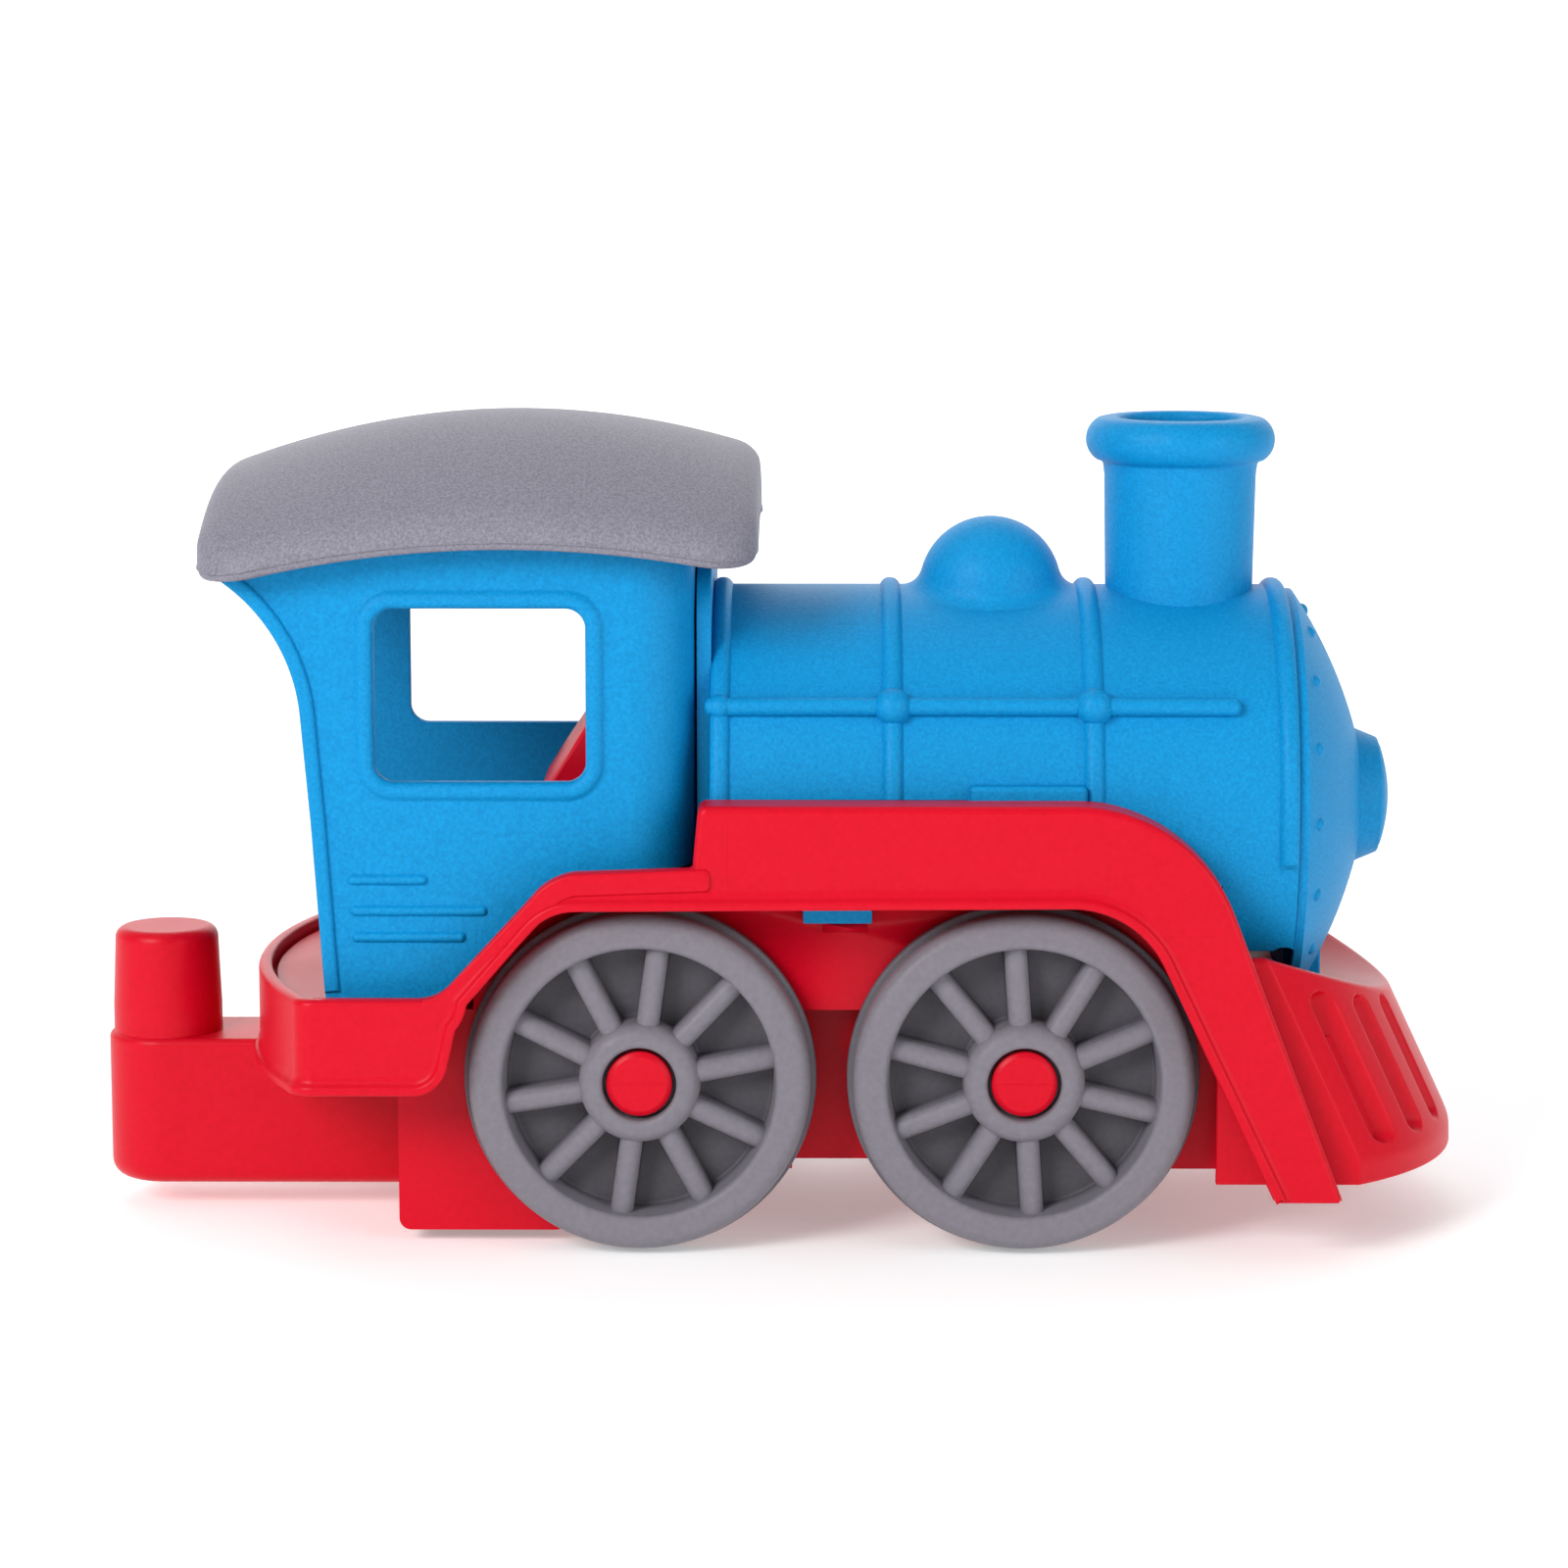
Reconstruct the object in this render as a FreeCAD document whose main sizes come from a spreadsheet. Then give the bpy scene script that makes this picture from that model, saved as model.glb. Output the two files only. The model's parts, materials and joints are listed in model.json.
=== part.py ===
import FreeCAD, Part
import Sketcher
import math
import os
import re

# Toy locomotive. Millimetres. +X is the engine's front, +Y its left side, +Z up.
# The origin lies on the ground, in the middle of the length and of the width.

SIZES = {
    # wheels and axles
    "wheel_radius": 33.2, "tread_radius": 32.2, "wheel_face_radius": 30.3,
    "ring_inner_radius": 25.4, "hub_radius": 11.4, "hub_crest_radius": 9.6,
    "head_bore_radius": 6.95, "journal_bore_radius": 5.08,
    "wheel_back": 37.5, "flange_front": 40.6, "wheel_face": 47.0, "web_face": 39.4,
    "hub_face": 47.8, "head_seat": 43.3, "spoke_width": 4.3, "spoke_side_outer": 3.4,
    "spoke_side_hub": 5.4, "spoke_count": 10,
    "front_spoke_angle": 94.0, "rear_spoke_angle": 82.0,
    "rear_axle_x": -25.8, "front_axle_x": 46.3, "axle_height": 33.2,
    "pin_head_radius": 6.2, "pin_head_face": 46.9, "pin_chamfer": 1.1, "pin_journal_radius": 5.0,
    "pin_shank_radius": 4.5, "pin_root": 36.9, "pin_gap": 0.3, "spigot_radius": 2.9,
    "flange_back_round": 1.2, "flange_round": 0.8, "face_round": 2.1, "hub_round": 3.2, "bore_round": 1.1,
    "socket_radius": 3.0, "spigot_length": 9.0,
    # lower frame
    "frame_half_width": 36.0, "frame_wall": 2.6, "frame_rear": -72.0, "frame_front": 82.5,
    "frame_bottom": 14.5, "frame_top": 45.2, "box_bottom": 2.4, "box_front": -40.0,
    "pocket_rear": 2.8, "pocket_front": 18.3, "pocket_half_width": 28.0,
    "tube_radius": 9.0, "tube_face": 36.9, "shank_bore_radius": 4.55,
    "coupler_x": -120.3, "beam_half_width": 11.5, "beam_bottom": 4.8, "beam_top": 34.0,
    "post_base_radius": 10.6, "post_top": 54.6, "post_land": 5.0, "post_taper": 2.4,
    # running board: heights and stations of its side outline
    "board_half_width": 51.2, "lip_half_width": 52.4, "lip_height": 2.0, "lip_lean": 1.6,
    "board_wall": 2.5, "deck_rear": -110.0, "deck_corner_x": -89.0, "deck_arc_radius": 111.0,
    "rim_top": 50.0, "rim_depth": 2.2, "rim_width": 2.6, "plate_drop": 4.7, "floor_drop": 2.0,
    "wall_top_drop": 4.1, "skirt_bottom": 32.0, "deck_corner": 4.0, "rear_lip_proud": 0.6,
    "slope_start_x": -66.5, "slope_foot_x": -60.5, "slope_foot_z": 53.0,
    "slope_head_x": -45.5, "slope_head_z": 69.3, "crest_x": -37.5, "crest_z": 74.0,
    "step_x": -15.6, "step_low_z": 74.8, "step_high_z": 84.8, "fender_top": 86.5,
    "fender_arc_x": 55.0, "fender_arc_end_x": 84.9, "fender_arc_end_z": 66.0, "fender_arc": 32.0,
    "foot_wall": 2.3, "slope_foot_arc": 8.3, "crest_arc": 12.0, "step_arc": 1.9,
    "foot_front_x": 105.9, "foot_rear_x": 93.0, "foot_bottom": 11.5,
    "arch_top": 67.5, "arch_front_x": 54.5, "arch_front_end_x": 71.6, "arch_front_end_z": 56.9,
    "arch_rear_x": -38.0, "arch_rear_end_x": -46.0, "arch_rear_end_z": 62.6,
    "knee_x": -57.6, "knee_z": 49.2, "knee_end_x": -59.7, "knee_end_z": 44.5,
    "tail_x": -61.4, "tail_z": 37.0, "tail_end_x": -67.2,
    "arch_front_arc": 19.0, "arch_rear_arc": 11.0, "knee_arc": 9.0, "tail_arc": 6.8,
    "channel_half_width": 42.7, "channel_wall": 2.0, "shelf_bottom": 67.6, "shelf_top": 69.4,
    "wall_bend_x": 66.0, "wall_bend_z": 83.0, "wall_end_x": 74.9, "wall_end_z": 77.6,
    "catch_rear": 8.5, "catch_front": 17.0, "catch_bottom": 60.3, "catch_top": 62.2,
    # front apron
    "apron_half_width": 44.6, "apron_rear": 82.9, "apron_arc_radius": 56.0, "apron_nose": 131.8,
    "apron_corner_x": 109.7, "apron_bottom": 13.4, "apron_band": 4.5, "apron_height": 46.0,
    "apron_saddle_z": 44.4, "apron_saddle_radius": 86.0, "apron_wall": 2.6, "apron_roof": 19.0,
    "tongue_front": 86.0, "tongue_top": 39.8,
    # cab: its rear edge stands on the deck and flares back under the roof
    "edge_foot_x": -85.1, "edge_mid_x": -87.2, "edge_mid_z": 82.0, "edge_bend_x": -88.9,
    "edge_bend_z": 102.0, "edge_top_x": -103.6, "edge_top_z": 127.6, "edge_bend_radius": 34.0,
    "edge_bead_width": 2.8, "bead_rise": 3.4, "edge_bead_proud": 1.0,
    "cab_half_width": 40.5, "cab_wall": 2.3, "cab_front": -15.6, "cab_corner_radius": 12.5,
    "window_rear": -75.1, "window_front": -35.7, "window_bottom": 89.4, "window_top": 121.9,
    "window_radius": 3.7, "bead_width": 3.5, "bead_proud": 1.1, "rib_proud": 0.9, "rib_height": 1.8,
    "rib_1_rear": -80.4, "rib_1_front": -65.5, "rib_1_z": 70.9, "rib_2_rear": -79.9, "rib_2_front": -54.4,
    "rib_2_z": 65.0, "rib_3_rear": -79.7, "rib_3_front": -58.5, "rib_3_z": 60.0,
    # roof
    "roof_rear": -107.8, "roof_front": -3.7, "roof_half_width": 48.2, "roof_crest_x": -50.3,
    "roof_crest": 156.0, "roof_length_radius": 145.0, "eave_bottom": 134.5, "eave_length_radius": 209.0,
    "roof_rim": 4.6, "roof_wall": 2.4, "roof_corner_radius": 11.0,
    # boiler, smokebox front, chimney and dome
    "boiler_axis": 80.85, "boiler_radius": 41.0, "boiler_wall": 2.4, "boiler_rear": -12.6,
    "boiler_front": 97.6, "band_width": 3.6, "band_arc": 1.9, "barrel_bottom": 56.0,
    "rear_band_x": 21.6, "front_band_x": 59.3, "dome_x": 41.0, "dome_top": 135.3, "dome_radius": 13.8,
    "rail_height": 103.0, "rail_radius": 1.7, "rail_rear": -13.0, "rail_front": 86.6, "ball_radius": 3.45,
    "front_gap": 0.4, "front_edge_radius": 40.2, "lamp_radius": 13.1, "lamp_tip_radius": 11.0,
    "lamp_base": 112.0, "lamp_face": 116.6, "lamp_tip": 118.7, "rivet_radius": 1.5,
    "front_arc": 91.0, "lamp_arc": 30.0, "first_rivet_angle": 22.5,
    "chimney_x": 77.5, "chimney_foot_radius": 14.2, "chimney_top_radius": 14.7, "chimney_bore": 11.5,
    "chimney_top": 154.6, "chimney_rim_radius": 18.2, "chimney_rim_half": 4.3,
    "rim_cove": 1.6, "rim_under_arc": 4.4, "rim_over_arc": 5.5, "chimney_lip_round": 1.2,
    "plate_corner": 9.0, "rivet_x": 101.4, "rail_offset": 35.6, "plate_rear": -15.2,
    "plate_half_width": 30.0, "plate_top": 128.0,
    "barrel_shelf": 69.6, "barrel_step_x": 83.5, "boss_rear": 35.9, "boss_front": 57.8,
    "boss_bottom": 82.0, "boss_top": 89.0, "boss_half_width": 43.4,
    "tab_rear": 4.8, "tab_front": 17.8, "tab_inner": 36.7, "tab_outer": 39.5, "tab_bottom": 62.4,
    "slot_clearance": 0.4, "rivet_ring_radius": 36.0, "rivet_count": 16, "front_tab_half_width": 12.0,
    "front_tab_front": 105.0, "front_tab_bottom": 45.6,
    # backhead
    "backhead_half_width": 24.0, "backhead_front": -18.2, "backhead_top": 105.0,
    "backhead_foot_x": -48.5, "backhead_foot_z": 63.4, "backhead_crest_x": -26.0,
    "backhead_brow_x": -33.2, "backhead_brow_z": 102.6, "backhead_face_x": -46.2, "backhead_face_z": 82.7,
    "backhead_round": 9.0,
}

SIDES = {"left": 1, "right": -1}
AXLES = {"front": "front_axle_x", "rear": "rear_axle_x"}

# Radii of plain edge rounds, the apron's setback for each millimetre up, sections through the roof.
BOX_ROUND = 2.3
BEAM_BOTTOM_ROUND = 3.6
BEAM_TOP_ROUND = 1.4
POST_ROUND = 2.2
DOME_ROOT_ROUND = 4.0
APRON_LEAN = 0.47
ROOF_STATIONS = 5

doc = FreeCAD.newDocument("toy_locomotive")
sheet = doc.addObject("Spreadsheet::Sheet", "Sizes")
for row, (alias, number) in enumerate(SIZES.items(), start=1):
    sheet.set("A%d" % row, alias)
    sheet.set("B%d" % row, str(number))
    sheet.setAlias("B%d" % row, alias)
doc.recompute()


# ---------------------------------------------------------------- sums of named sizes

def value(text):
    """Work out a sum such as 'hub_radius - 0.5*spoke_width' from the sheet's cells."""
    total = 0.0
    for term in str(text).replace("-", "+-").split("+"):
        term = term.strip()
        if not term:
            continue
        product = -1.0 if term.startswith("-") else 1.0
        for factor in term.lstrip("- ").split("*"):
            factor = factor.strip()
            product *= getattr(sheet, factor) if factor in SIZES else float(factor)
        total += product
    return total


def formula(text):
    """The same sum as an expression on the spreadsheet."""
    return re.sub(r"[a-z]\w*", lambda word: "Sizes." + word.group(0), str(text))


def bind(thing, **sizes):
    for name, text in sizes.items():
        thing.setExpression(name, formula(text))


def minus(text):
    """The negative of a sum."""
    flipped = "-" + text.replace("-", "~").replace("+", "-").replace("~", "+")
    return flipped.replace("-+", "+").replace("--", "")


# ---------------------------------------------------------------- sketches and features

def new_body(label):
    body = doc.addObject("PartDesign::Body", label)
    body.Label = label
    return body


def origin_feature(body, role):
    return [item for item in body.Origin.OriginFeatures if item.Role == role][0]


def new_sketch(body, role, name, offset="0"):
    """A sketch on one of the body's origin planes, moved along the plane's normal by offset."""
    sketch = body.newObject("Sketcher::SketchObject", name)
    sketch.AttachmentSupport = [(origin_feature(body, role), "")]
    sketch.MapMode = "FlatFace"
    sketch.AttachmentOffset = FreeCAD.Placement(FreeCAD.Vector(0, 0, value(offset)), FreeCAD.Rotation())
    sketch.setExpression("AttachmentOffset.Base.z", formula(offset))
    return sketch


def pin_point(sketch, edge, end, point):
    """Hold one end of a sketch edge at a point given as two sums."""
    for kind, text in zip(("DistanceX", "DistanceY"), point):
        index = sketch.addConstraint(Sketcher.Constraint(kind, -1, 1, edge, end, value(text)))
        sketch.setExpression("Constraints[%d]" % index, formula(text))


def outline(sketch, points, arcs=None):
    """A closed outline. arcs maps a segment's number to the way it turns, left or right, and its radius."""
    arcs = arcs or {}
    spots = [FreeCAD.Vector(value(x), value(y), 0) for x, y in points]
    ends = []
    for number, start in enumerate(spots):
        finish = spots[(number + 1) % len(spots)]
        if number not in arcs:
            edge = sketch.addGeometry(Part.LineSegment(start, finish), False)
            ends.append((edge, 1, 2))
            continue
        turn = 1 if arcs[number][0] == "left" else -1
        radius = value(arcs[number][1])
        chord = finish - start
        rise = math.sqrt(max(radius ** 2 - (chord.Length / 2) ** 2, 0.0))
        normal = FreeCAD.Vector(-chord.y, chord.x, 0).normalize()
        centre = (start + finish) * 0.5 + normal * (rise * turn)
        first, last = (start, finish) if turn > 0 else (finish, start)
        angles = [math.atan2(spot.y - centre.y, spot.x - centre.x) for spot in (first, last)]
        if angles[1] < angles[0]:
            angles[1] += 2 * math.pi
        circle = Part.Circle(centre, FreeCAD.Vector(0, 0, 1), radius)
        edge = sketch.addGeometry(Part.ArcOfCircle(circle, *angles), False)
        ends.append((edge, 1, 2) if turn > 0 else (edge, 2, 1))
        index = sketch.addConstraint(Sketcher.Constraint("Radius", edge, radius))
        sketch.setExpression("Constraints[%d]" % index, formula(arcs[number][1]))
    for number, (edge, start, finish) in enumerate(ends):
        following = ends[(number + 1) % len(ends)]
        sketch.addConstraint(Sketcher.Constraint("Coincident", edge, finish, following[0], following[1]))
        pin_point(sketch, edge, start, points[number])


def disc(sketch, x, y, radius):
    circle = Part.Circle(FreeCAD.Vector(value(x), value(y), 0), FreeCAD.Vector(0, 0, 1), value(radius))
    edge = sketch.addGeometry(circle, False)
    index = sketch.addConstraint(Sketcher.Constraint("Radius", edge, value(radius)))
    sketch.setExpression("Constraints[%d]" % index, formula(radius))
    pin_point(sketch, edge, 3, (x, y))


def rectangle(sketch, x0, x1, y0, y1):
    outline(sketch, [(x0, y0), (x1, y0), (x1, y1), (x0, y1)])


def rounded_rectangle(sketch, x0, x1, y0, y1, radius):
    less, more = " - " + radius, " + " + radius
    points = [(x0 + more, y0), (x1 + less, y0), (x1, y0 + more), (x1, y1 + less),
              (x1 + less, y1), (x0 + more, y1), (x0, y1 + less), (x0, y0 + more)]
    outline(sketch, points, {number: ("left", radius) for number in (1, 3, 5, 7)})


def pad(body, sketch, length, sides="One side", back=False):
    feature = body.newObject("PartDesign::Pad", sketch.Name + "_pad")
    feature.Profile = sketch
    feature.SideType = sides
    feature.Reversed = back
    bind(feature, Length=length)
    return feature


def pocket(body, sketch, length, sides="One side", back=False):
    """Cut a sketch out of the body, and make sure that it removes material."""
    doc.recompute()
    before = body.Shape.Volume
    feature = body.newObject("PartDesign::Pocket", sketch.Name + "_pocket")
    feature.Profile = sketch
    feature.SideType = sides
    feature.Reversed = back
    bind(feature, Length=length)
    doc.recompute()
    if not body.Shape.Volume < before - 1e-3:
        raise RuntimeError("%s cuts nothing from %s" % (sketch.Name, body.Label))
    return feature


def revolve(body, sketch, axis="V_Axis", kind="Revolution"):
    feature = body.newObject("PartDesign::" + kind, sketch.Name + "_turn")
    feature.Profile = sketch
    feature.ReferenceAxis = (sketch, [axis])
    feature.Angle = 360
    return feature


def polar(body, features, role, count):
    pattern = body.newObject("PartDesign::PolarPattern", features[0].Name + "_ring")
    pattern.Originals = features
    pattern.Axis = (origin_feature(body, role), [""])
    pattern.Angle = 360
    bind(pattern, Occurrences=count)
    body.Tip = pattern
    return pattern


def mirror(body, features, role="XZ_Plane"):
    pattern = body.newObject("PartDesign::Mirrored", features[0].Name + "_mirror")
    pattern.Originals = features
    pattern.MirrorPlane = (origin_feature(body, role), [""])
    body.Tip = pattern
    return pattern


def fillet(body, picks, radius, name):
    """Round the edges of the body's present shape that picks(edge) chooses."""
    doc.recompute()
    base = body.Tip
    edges = ["Edge%d" % (number + 1) for number, edge in enumerate(base.Shape.Edges) if picks(edge)]
    feature = body.newObject("PartDesign::Fillet", name)
    feature.Base = (base, edges)
    feature.Radius = radius
    doc.recompute()
    return feature


def at_height(edge, height):
    box = edge.BoundBox
    return abs(box.ZMin - value(height)) < 1e-3 and abs(box.ZMax - value(height)) < 1e-3


def along(edge, axis):
    box = edge.BoundBox
    lengths = {"x": box.XLength, "y": box.YLength, "z": box.ZLength}
    return lengths[axis] > 0.99 * edge.Length


def upright_axis(sketch, x):
    """A construction line to turn a profile about, parallel to the sketch's vertical, at x."""
    line = Part.LineSegment(FreeCAD.Vector(value(x), 0, 0), FreeCAD.Vector(value(x), 10, 0))
    edge = sketch.addGeometry(line, True)
    pin_point(sketch, edge, 1, (x, "0"))
    pin_point(sketch, edge, 2, (x, "10"))


def place(piece, **sums):
    """Bind the piece's position along x, y or z to sums of sizes."""
    for axis, text in sums.items():
        piece.setExpression("Placement.Base." + axis, formula(text))


# ---------------------------------------------------------------- wheels and axle pins

def wheel(label):
    """A spoked wheel about Y: flanged rim, thin web, round spokes and a hub round the pin's head."""
    body = new_body(label)
    section = new_sketch(body, "XY_Plane", label + "_section")
    outline(section, [
        ("journal_bore_radius", "wheel_back - 0.3"),
        ("wheel_radius - flange_back_round", "wheel_back"),
        ("wheel_radius", "wheel_back + flange_back_round"),
        ("wheel_radius", "flange_front - flange_round"),
        ("wheel_radius - flange_round", "flange_front"),
        ("tread_radius - 0.5", "flange_front"),
        ("tread_radius", "flange_front + 0.8"),
        ("tread_radius", "wheel_face - 2"),
        ("wheel_face_radius", "wheel_face"),
        ("ring_inner_radius + 0.5", "wheel_face"),
        ("ring_inner_radius", "wheel_face - 0.5"),
        ("ring_inner_radius - 0.5", "web_face"),
        ("hub_radius + 0.3", "web_face"),
        ("hub_radius", "hub_face - 3.4"),
        ("hub_radius - 2.6", "hub_face"),
        ("head_bore_radius + 0.9", "hub_face"),
        ("head_bore_radius", "hub_face - bore_round"),
        ("head_bore_radius", "head_seat"),
        ("journal_bore_radius", "head_seat"),
    ], {1: ("left", "flange_back_round"), 3: ("left", "flange_round"), 7: ("left", "face_round"),
        13: ("left", "hub_round"), 15: ("left", "bore_round")})
    revolve(body, section)
    near = new_sketch(body, "YZ_Plane", label + "_spoke_hub", "hub_crest_radius")
    far = new_sketch(body, "YZ_Plane", label + "_spoke_rim", "ring_inner_radius + 0.8")
    for sketch, side in ((near, "spoke_side_hub"), (far, "spoke_side_outer")):
        outline(sketch, [
            ("web_face - 0.4", "0.5*spoke_width"), ("web_face - 0.4", "-0.5*spoke_width"),
            ("web_face + " + side, "-0.5*spoke_width"), ("web_face + " + side, "0.5*spoke_width"),
        ], {2: ("left", "0.5*spoke_width + 0.05")})
    spoke = body.newObject("PartDesign::AdditiveLoft", label + "_spoke")
    spoke.Profile = near
    spoke.Sections = [far]
    polar(body, [spoke], "Y_Axis", "spoke_count")
    return body


def axle_pin(label, hollow):
    """A headed pin about Y that holds one wheel. One pin of a pair ends in a socket, the other in a spigot."""
    body = new_body(label)
    section = new_sketch(body, "XY_Plane", label + "_section")
    if hollow:
        inner = [("socket_radius", "spigot_length + 1"), ("socket_radius", "0")]
    else:
        inner = [("0", "1 - spigot_length"), ("spigot_radius", "1 - spigot_length"), ("spigot_radius", "0")]
    start = [("0", "spigot_length + 1")] if hollow else []
    outline(section, start + inner + [
        ("pin_shank_radius", "0"),
        ("pin_shank_radius", "pin_root"),
        ("pin_journal_radius", "pin_root"),
        ("pin_journal_radius", "head_seat + pin_gap"),
        ("pin_head_radius", "head_seat + pin_gap"),
        ("pin_head_radius", "pin_head_face - 0.5*pin_chamfer"),
        ("pin_head_radius - pin_chamfer", "pin_head_face"),
        ("0", "pin_head_face"),
    ])
    revolve(body, section)
    return body


def wheels_and_pins():
    pieces = []
    for axle, axle_x in AXLES.items():
        for side, sign in SIDES.items():
            turn = FreeCAD.Rotation(FreeCAD.Vector(0, 0, 1), 0 if sign > 0 else 180)
            spun = FreeCAD.Rotation(FreeCAD.Vector(0, 1, 0), -SIZES[axle + "_spoke_angle"])
            for piece, rotation in ((wheel("wheel_%s_%s" % (axle, side)), spun.multiply(turn)),
                                    (axle_pin("axle_pin_%s_%s" % (axle, side), sign > 0), turn)):
                piece.Placement = FreeCAD.Placement(FreeCAD.Vector(), rotation)
                place(piece, x=axle_x, z="axle_height")
                pieces.append(piece)
    return pieces


# ---------------------------------------------------------------- lower frame

def underframe():
    """An open-bottomed trough with a deep rear box, cross tubes for the pins, a front tongue and the coupler."""
    body = new_body("underframe")
    for name, shrink, bottom in (("frame_outside", "0", "frame_bottom"),
                                 ("frame_inside", "frame_wall", "frame_bottom")):
        plan = new_sketch(body, "XY_Plane", name, bottom)
        rear, front = "frame_rear + " + shrink, "frame_front - " + shrink
        side, inset = "frame_half_width - " + shrink, "pocket_half_width - " + shrink
        first, last = "pocket_rear - " + shrink, "pocket_front + " + shrink
        outline(plan, [
            (rear, minus(side)), (first, minus(side)), (first, minus(inset)), (last, minus(inset)),
            (last, minus(side)), (front, minus(side)), (front, side), (last, side), (last, inset),
            (first, inset), (first, side), (rear, side),
        ])
        if name == "frame_outside":
            pad(body, plan, "frame_top - frame_bottom")
            box = new_sketch(body, "XY_Plane", "rear_box", "box_bottom")
            rectangle(box, "frame_rear", "box_front", "-frame_half_width", "frame_half_width")
            pad(body, box, "frame_bottom - box_bottom")
            fillet(body, lambda edge: at_height(edge, "box_bottom") and along(edge, "y"), BOX_ROUND,
                   "box_round")
        else:
            pocket(body, plan, "frame_top - frame_bottom - frame_wall", back=True)
            box = new_sketch(body, "XY_Plane", "rear_box_inside", "box_bottom")
            rectangle(box, "frame_rear + frame_wall", "box_front - frame_wall",
                      "-frame_half_width + frame_wall", "frame_half_width - frame_wall")
            pocket(body, box, "frame_bottom - box_bottom + 1", back=True)
    beam = new_sketch(body, "XY_Plane", "coupler_beam", "beam_bottom")
    end = "coupler_x - beam_half_width"
    outline(beam, [
        ("coupler_x", "-beam_half_width"), ("frame_rear", "-beam_half_width"),
        ("frame_rear", "beam_half_width"), ("coupler_x", "beam_half_width"), (end, "0"),
    ], {3: ("left", "beam_half_width"), 4: ("left", "beam_half_width")})
    pad(body, beam, "beam_top - beam_bottom")
    fillet(body, lambda edge: at_height(edge, "beam_bottom") and edge.BoundBox.XMin < SIZES["frame_rear"] - 5,
           BEAM_BOTTOM_ROUND, "beam_bottom_round")
    fillet(body, lambda edge: at_height(edge, "beam_top") and edge.BoundBox.XMin < SIZES["frame_rear"] - 5,
           BEAM_TOP_ROUND, "beam_top_round")
    land = new_sketch(body, "XY_Plane", "post_land_disc", "beam_top - 1")
    disc(land, "coupler_x", "0", "post_base_radius")
    pad(body, land, "post_land + 1")
    taper = new_sketch(body, "XY_Plane", "post_taper_disc", "beam_top + post_land")
    disc(taper, "coupler_x", "0", "post_base_radius")
    cone = pad(body, taper, "post_top - beam_top - post_land")
    cone.setExpression("TaperAngle", formula("-post_taper"))
    fillet(body, lambda edge: at_height(edge, "post_top"), POST_ROUND, "post_round")
    tongue = new_sketch(body, "XY_Plane", "front_tongue", "frame_bottom")
    rectangle(tongue, "frame_front - 1", "tongue_front", "-frame_half_width", "frame_half_width")
    pad(body, tongue, "tongue_top - frame_bottom")
    for axle, axle_x in AXLES.items():
        for name, radius, make in (("tube", "tube_radius", pad), ("bore", "shank_bore_radius", pocket)):
            ring = new_sketch(body, "XZ_Plane", axle + "_" + name)
            disc(ring, axle_x, "axle_height", radius)
            extra = "0" if name == "tube" else "4"
            make(body, ring, "2*tube_face + " + extra, "Symmetric")
    return body


# ---------------------------------------------------------------- running board

def arch_line(across="0", up="0"):
    """The fender's lower edge from front foot to deck, shifted away from the wheels by across and up."""
    ahead, behind, rise = " + " + across, " - " + across, " + " + up
    points = [
        ("foot_rear_x" + ahead, "foot_bottom"),
        ("arch_front_end_x" + ahead, "arch_front_end_z" + rise),
        ("arch_front_x" + ahead, "arch_top" + rise),
        ("arch_rear_x" + behind, "arch_top - 0.6" + rise),
        ("arch_rear_end_x" + behind, "arch_rear_end_z" + rise),
        ("knee_x" + behind, "knee_z" + rise),
        ("knee_end_x" + behind, "knee_end_z" + rise),
        ("tail_x" + behind, "tail_z" + rise),
        ("tail_end_x" + behind, "skirt_bottom" + rise),
        ("deck_rear", "skirt_bottom" + rise),
    ]
    return points, {1: ("left", "arch_front_arc"), 3: ("left", "arch_rear_arc"), 5: ("right", "knee_arc"),
                    7: ("right", "tail_arc")}


def rim_line(drop_low="0", drop_high="0"):
    """The fender's upper edge from the deck to the front foot, lowered square to itself."""
    slope_x, slope_z = "0.74*" + drop_low, "0.68*" + drop_low
    lean_x, lean_z = "0.93*" + drop_high, "0.36*" + drop_high
    points = [
        ("deck_rear", "rim_top - " + drop_low),
        ("slope_start_x + 0.4*" + drop_low, "rim_top - " + drop_low),
        ("slope_foot_x + " + slope_x, "slope_foot_z - " + slope_z),
        ("slope_head_x + " + slope_x, "slope_head_z - " + slope_z),
        ("crest_x + 0.3*" + drop_low, "crest_z - " + drop_low),
        ("step_x + " + drop_high, "step_low_z - " + drop_low),
        ("step_x + 0.9 + " + drop_high, "step_high_z - " + drop_high),
        ("step_x + 2.6 + " + drop_high, "fender_top - " + drop_high),
        ("fender_arc_x", "fender_top - " + drop_high),
        ("fender_arc_end_x - " + lean_x, "fender_arc_end_z - " + lean_z),
        ("foot_front_x - " + lean_x, "foot_bottom"),
    ]
    return points


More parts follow.
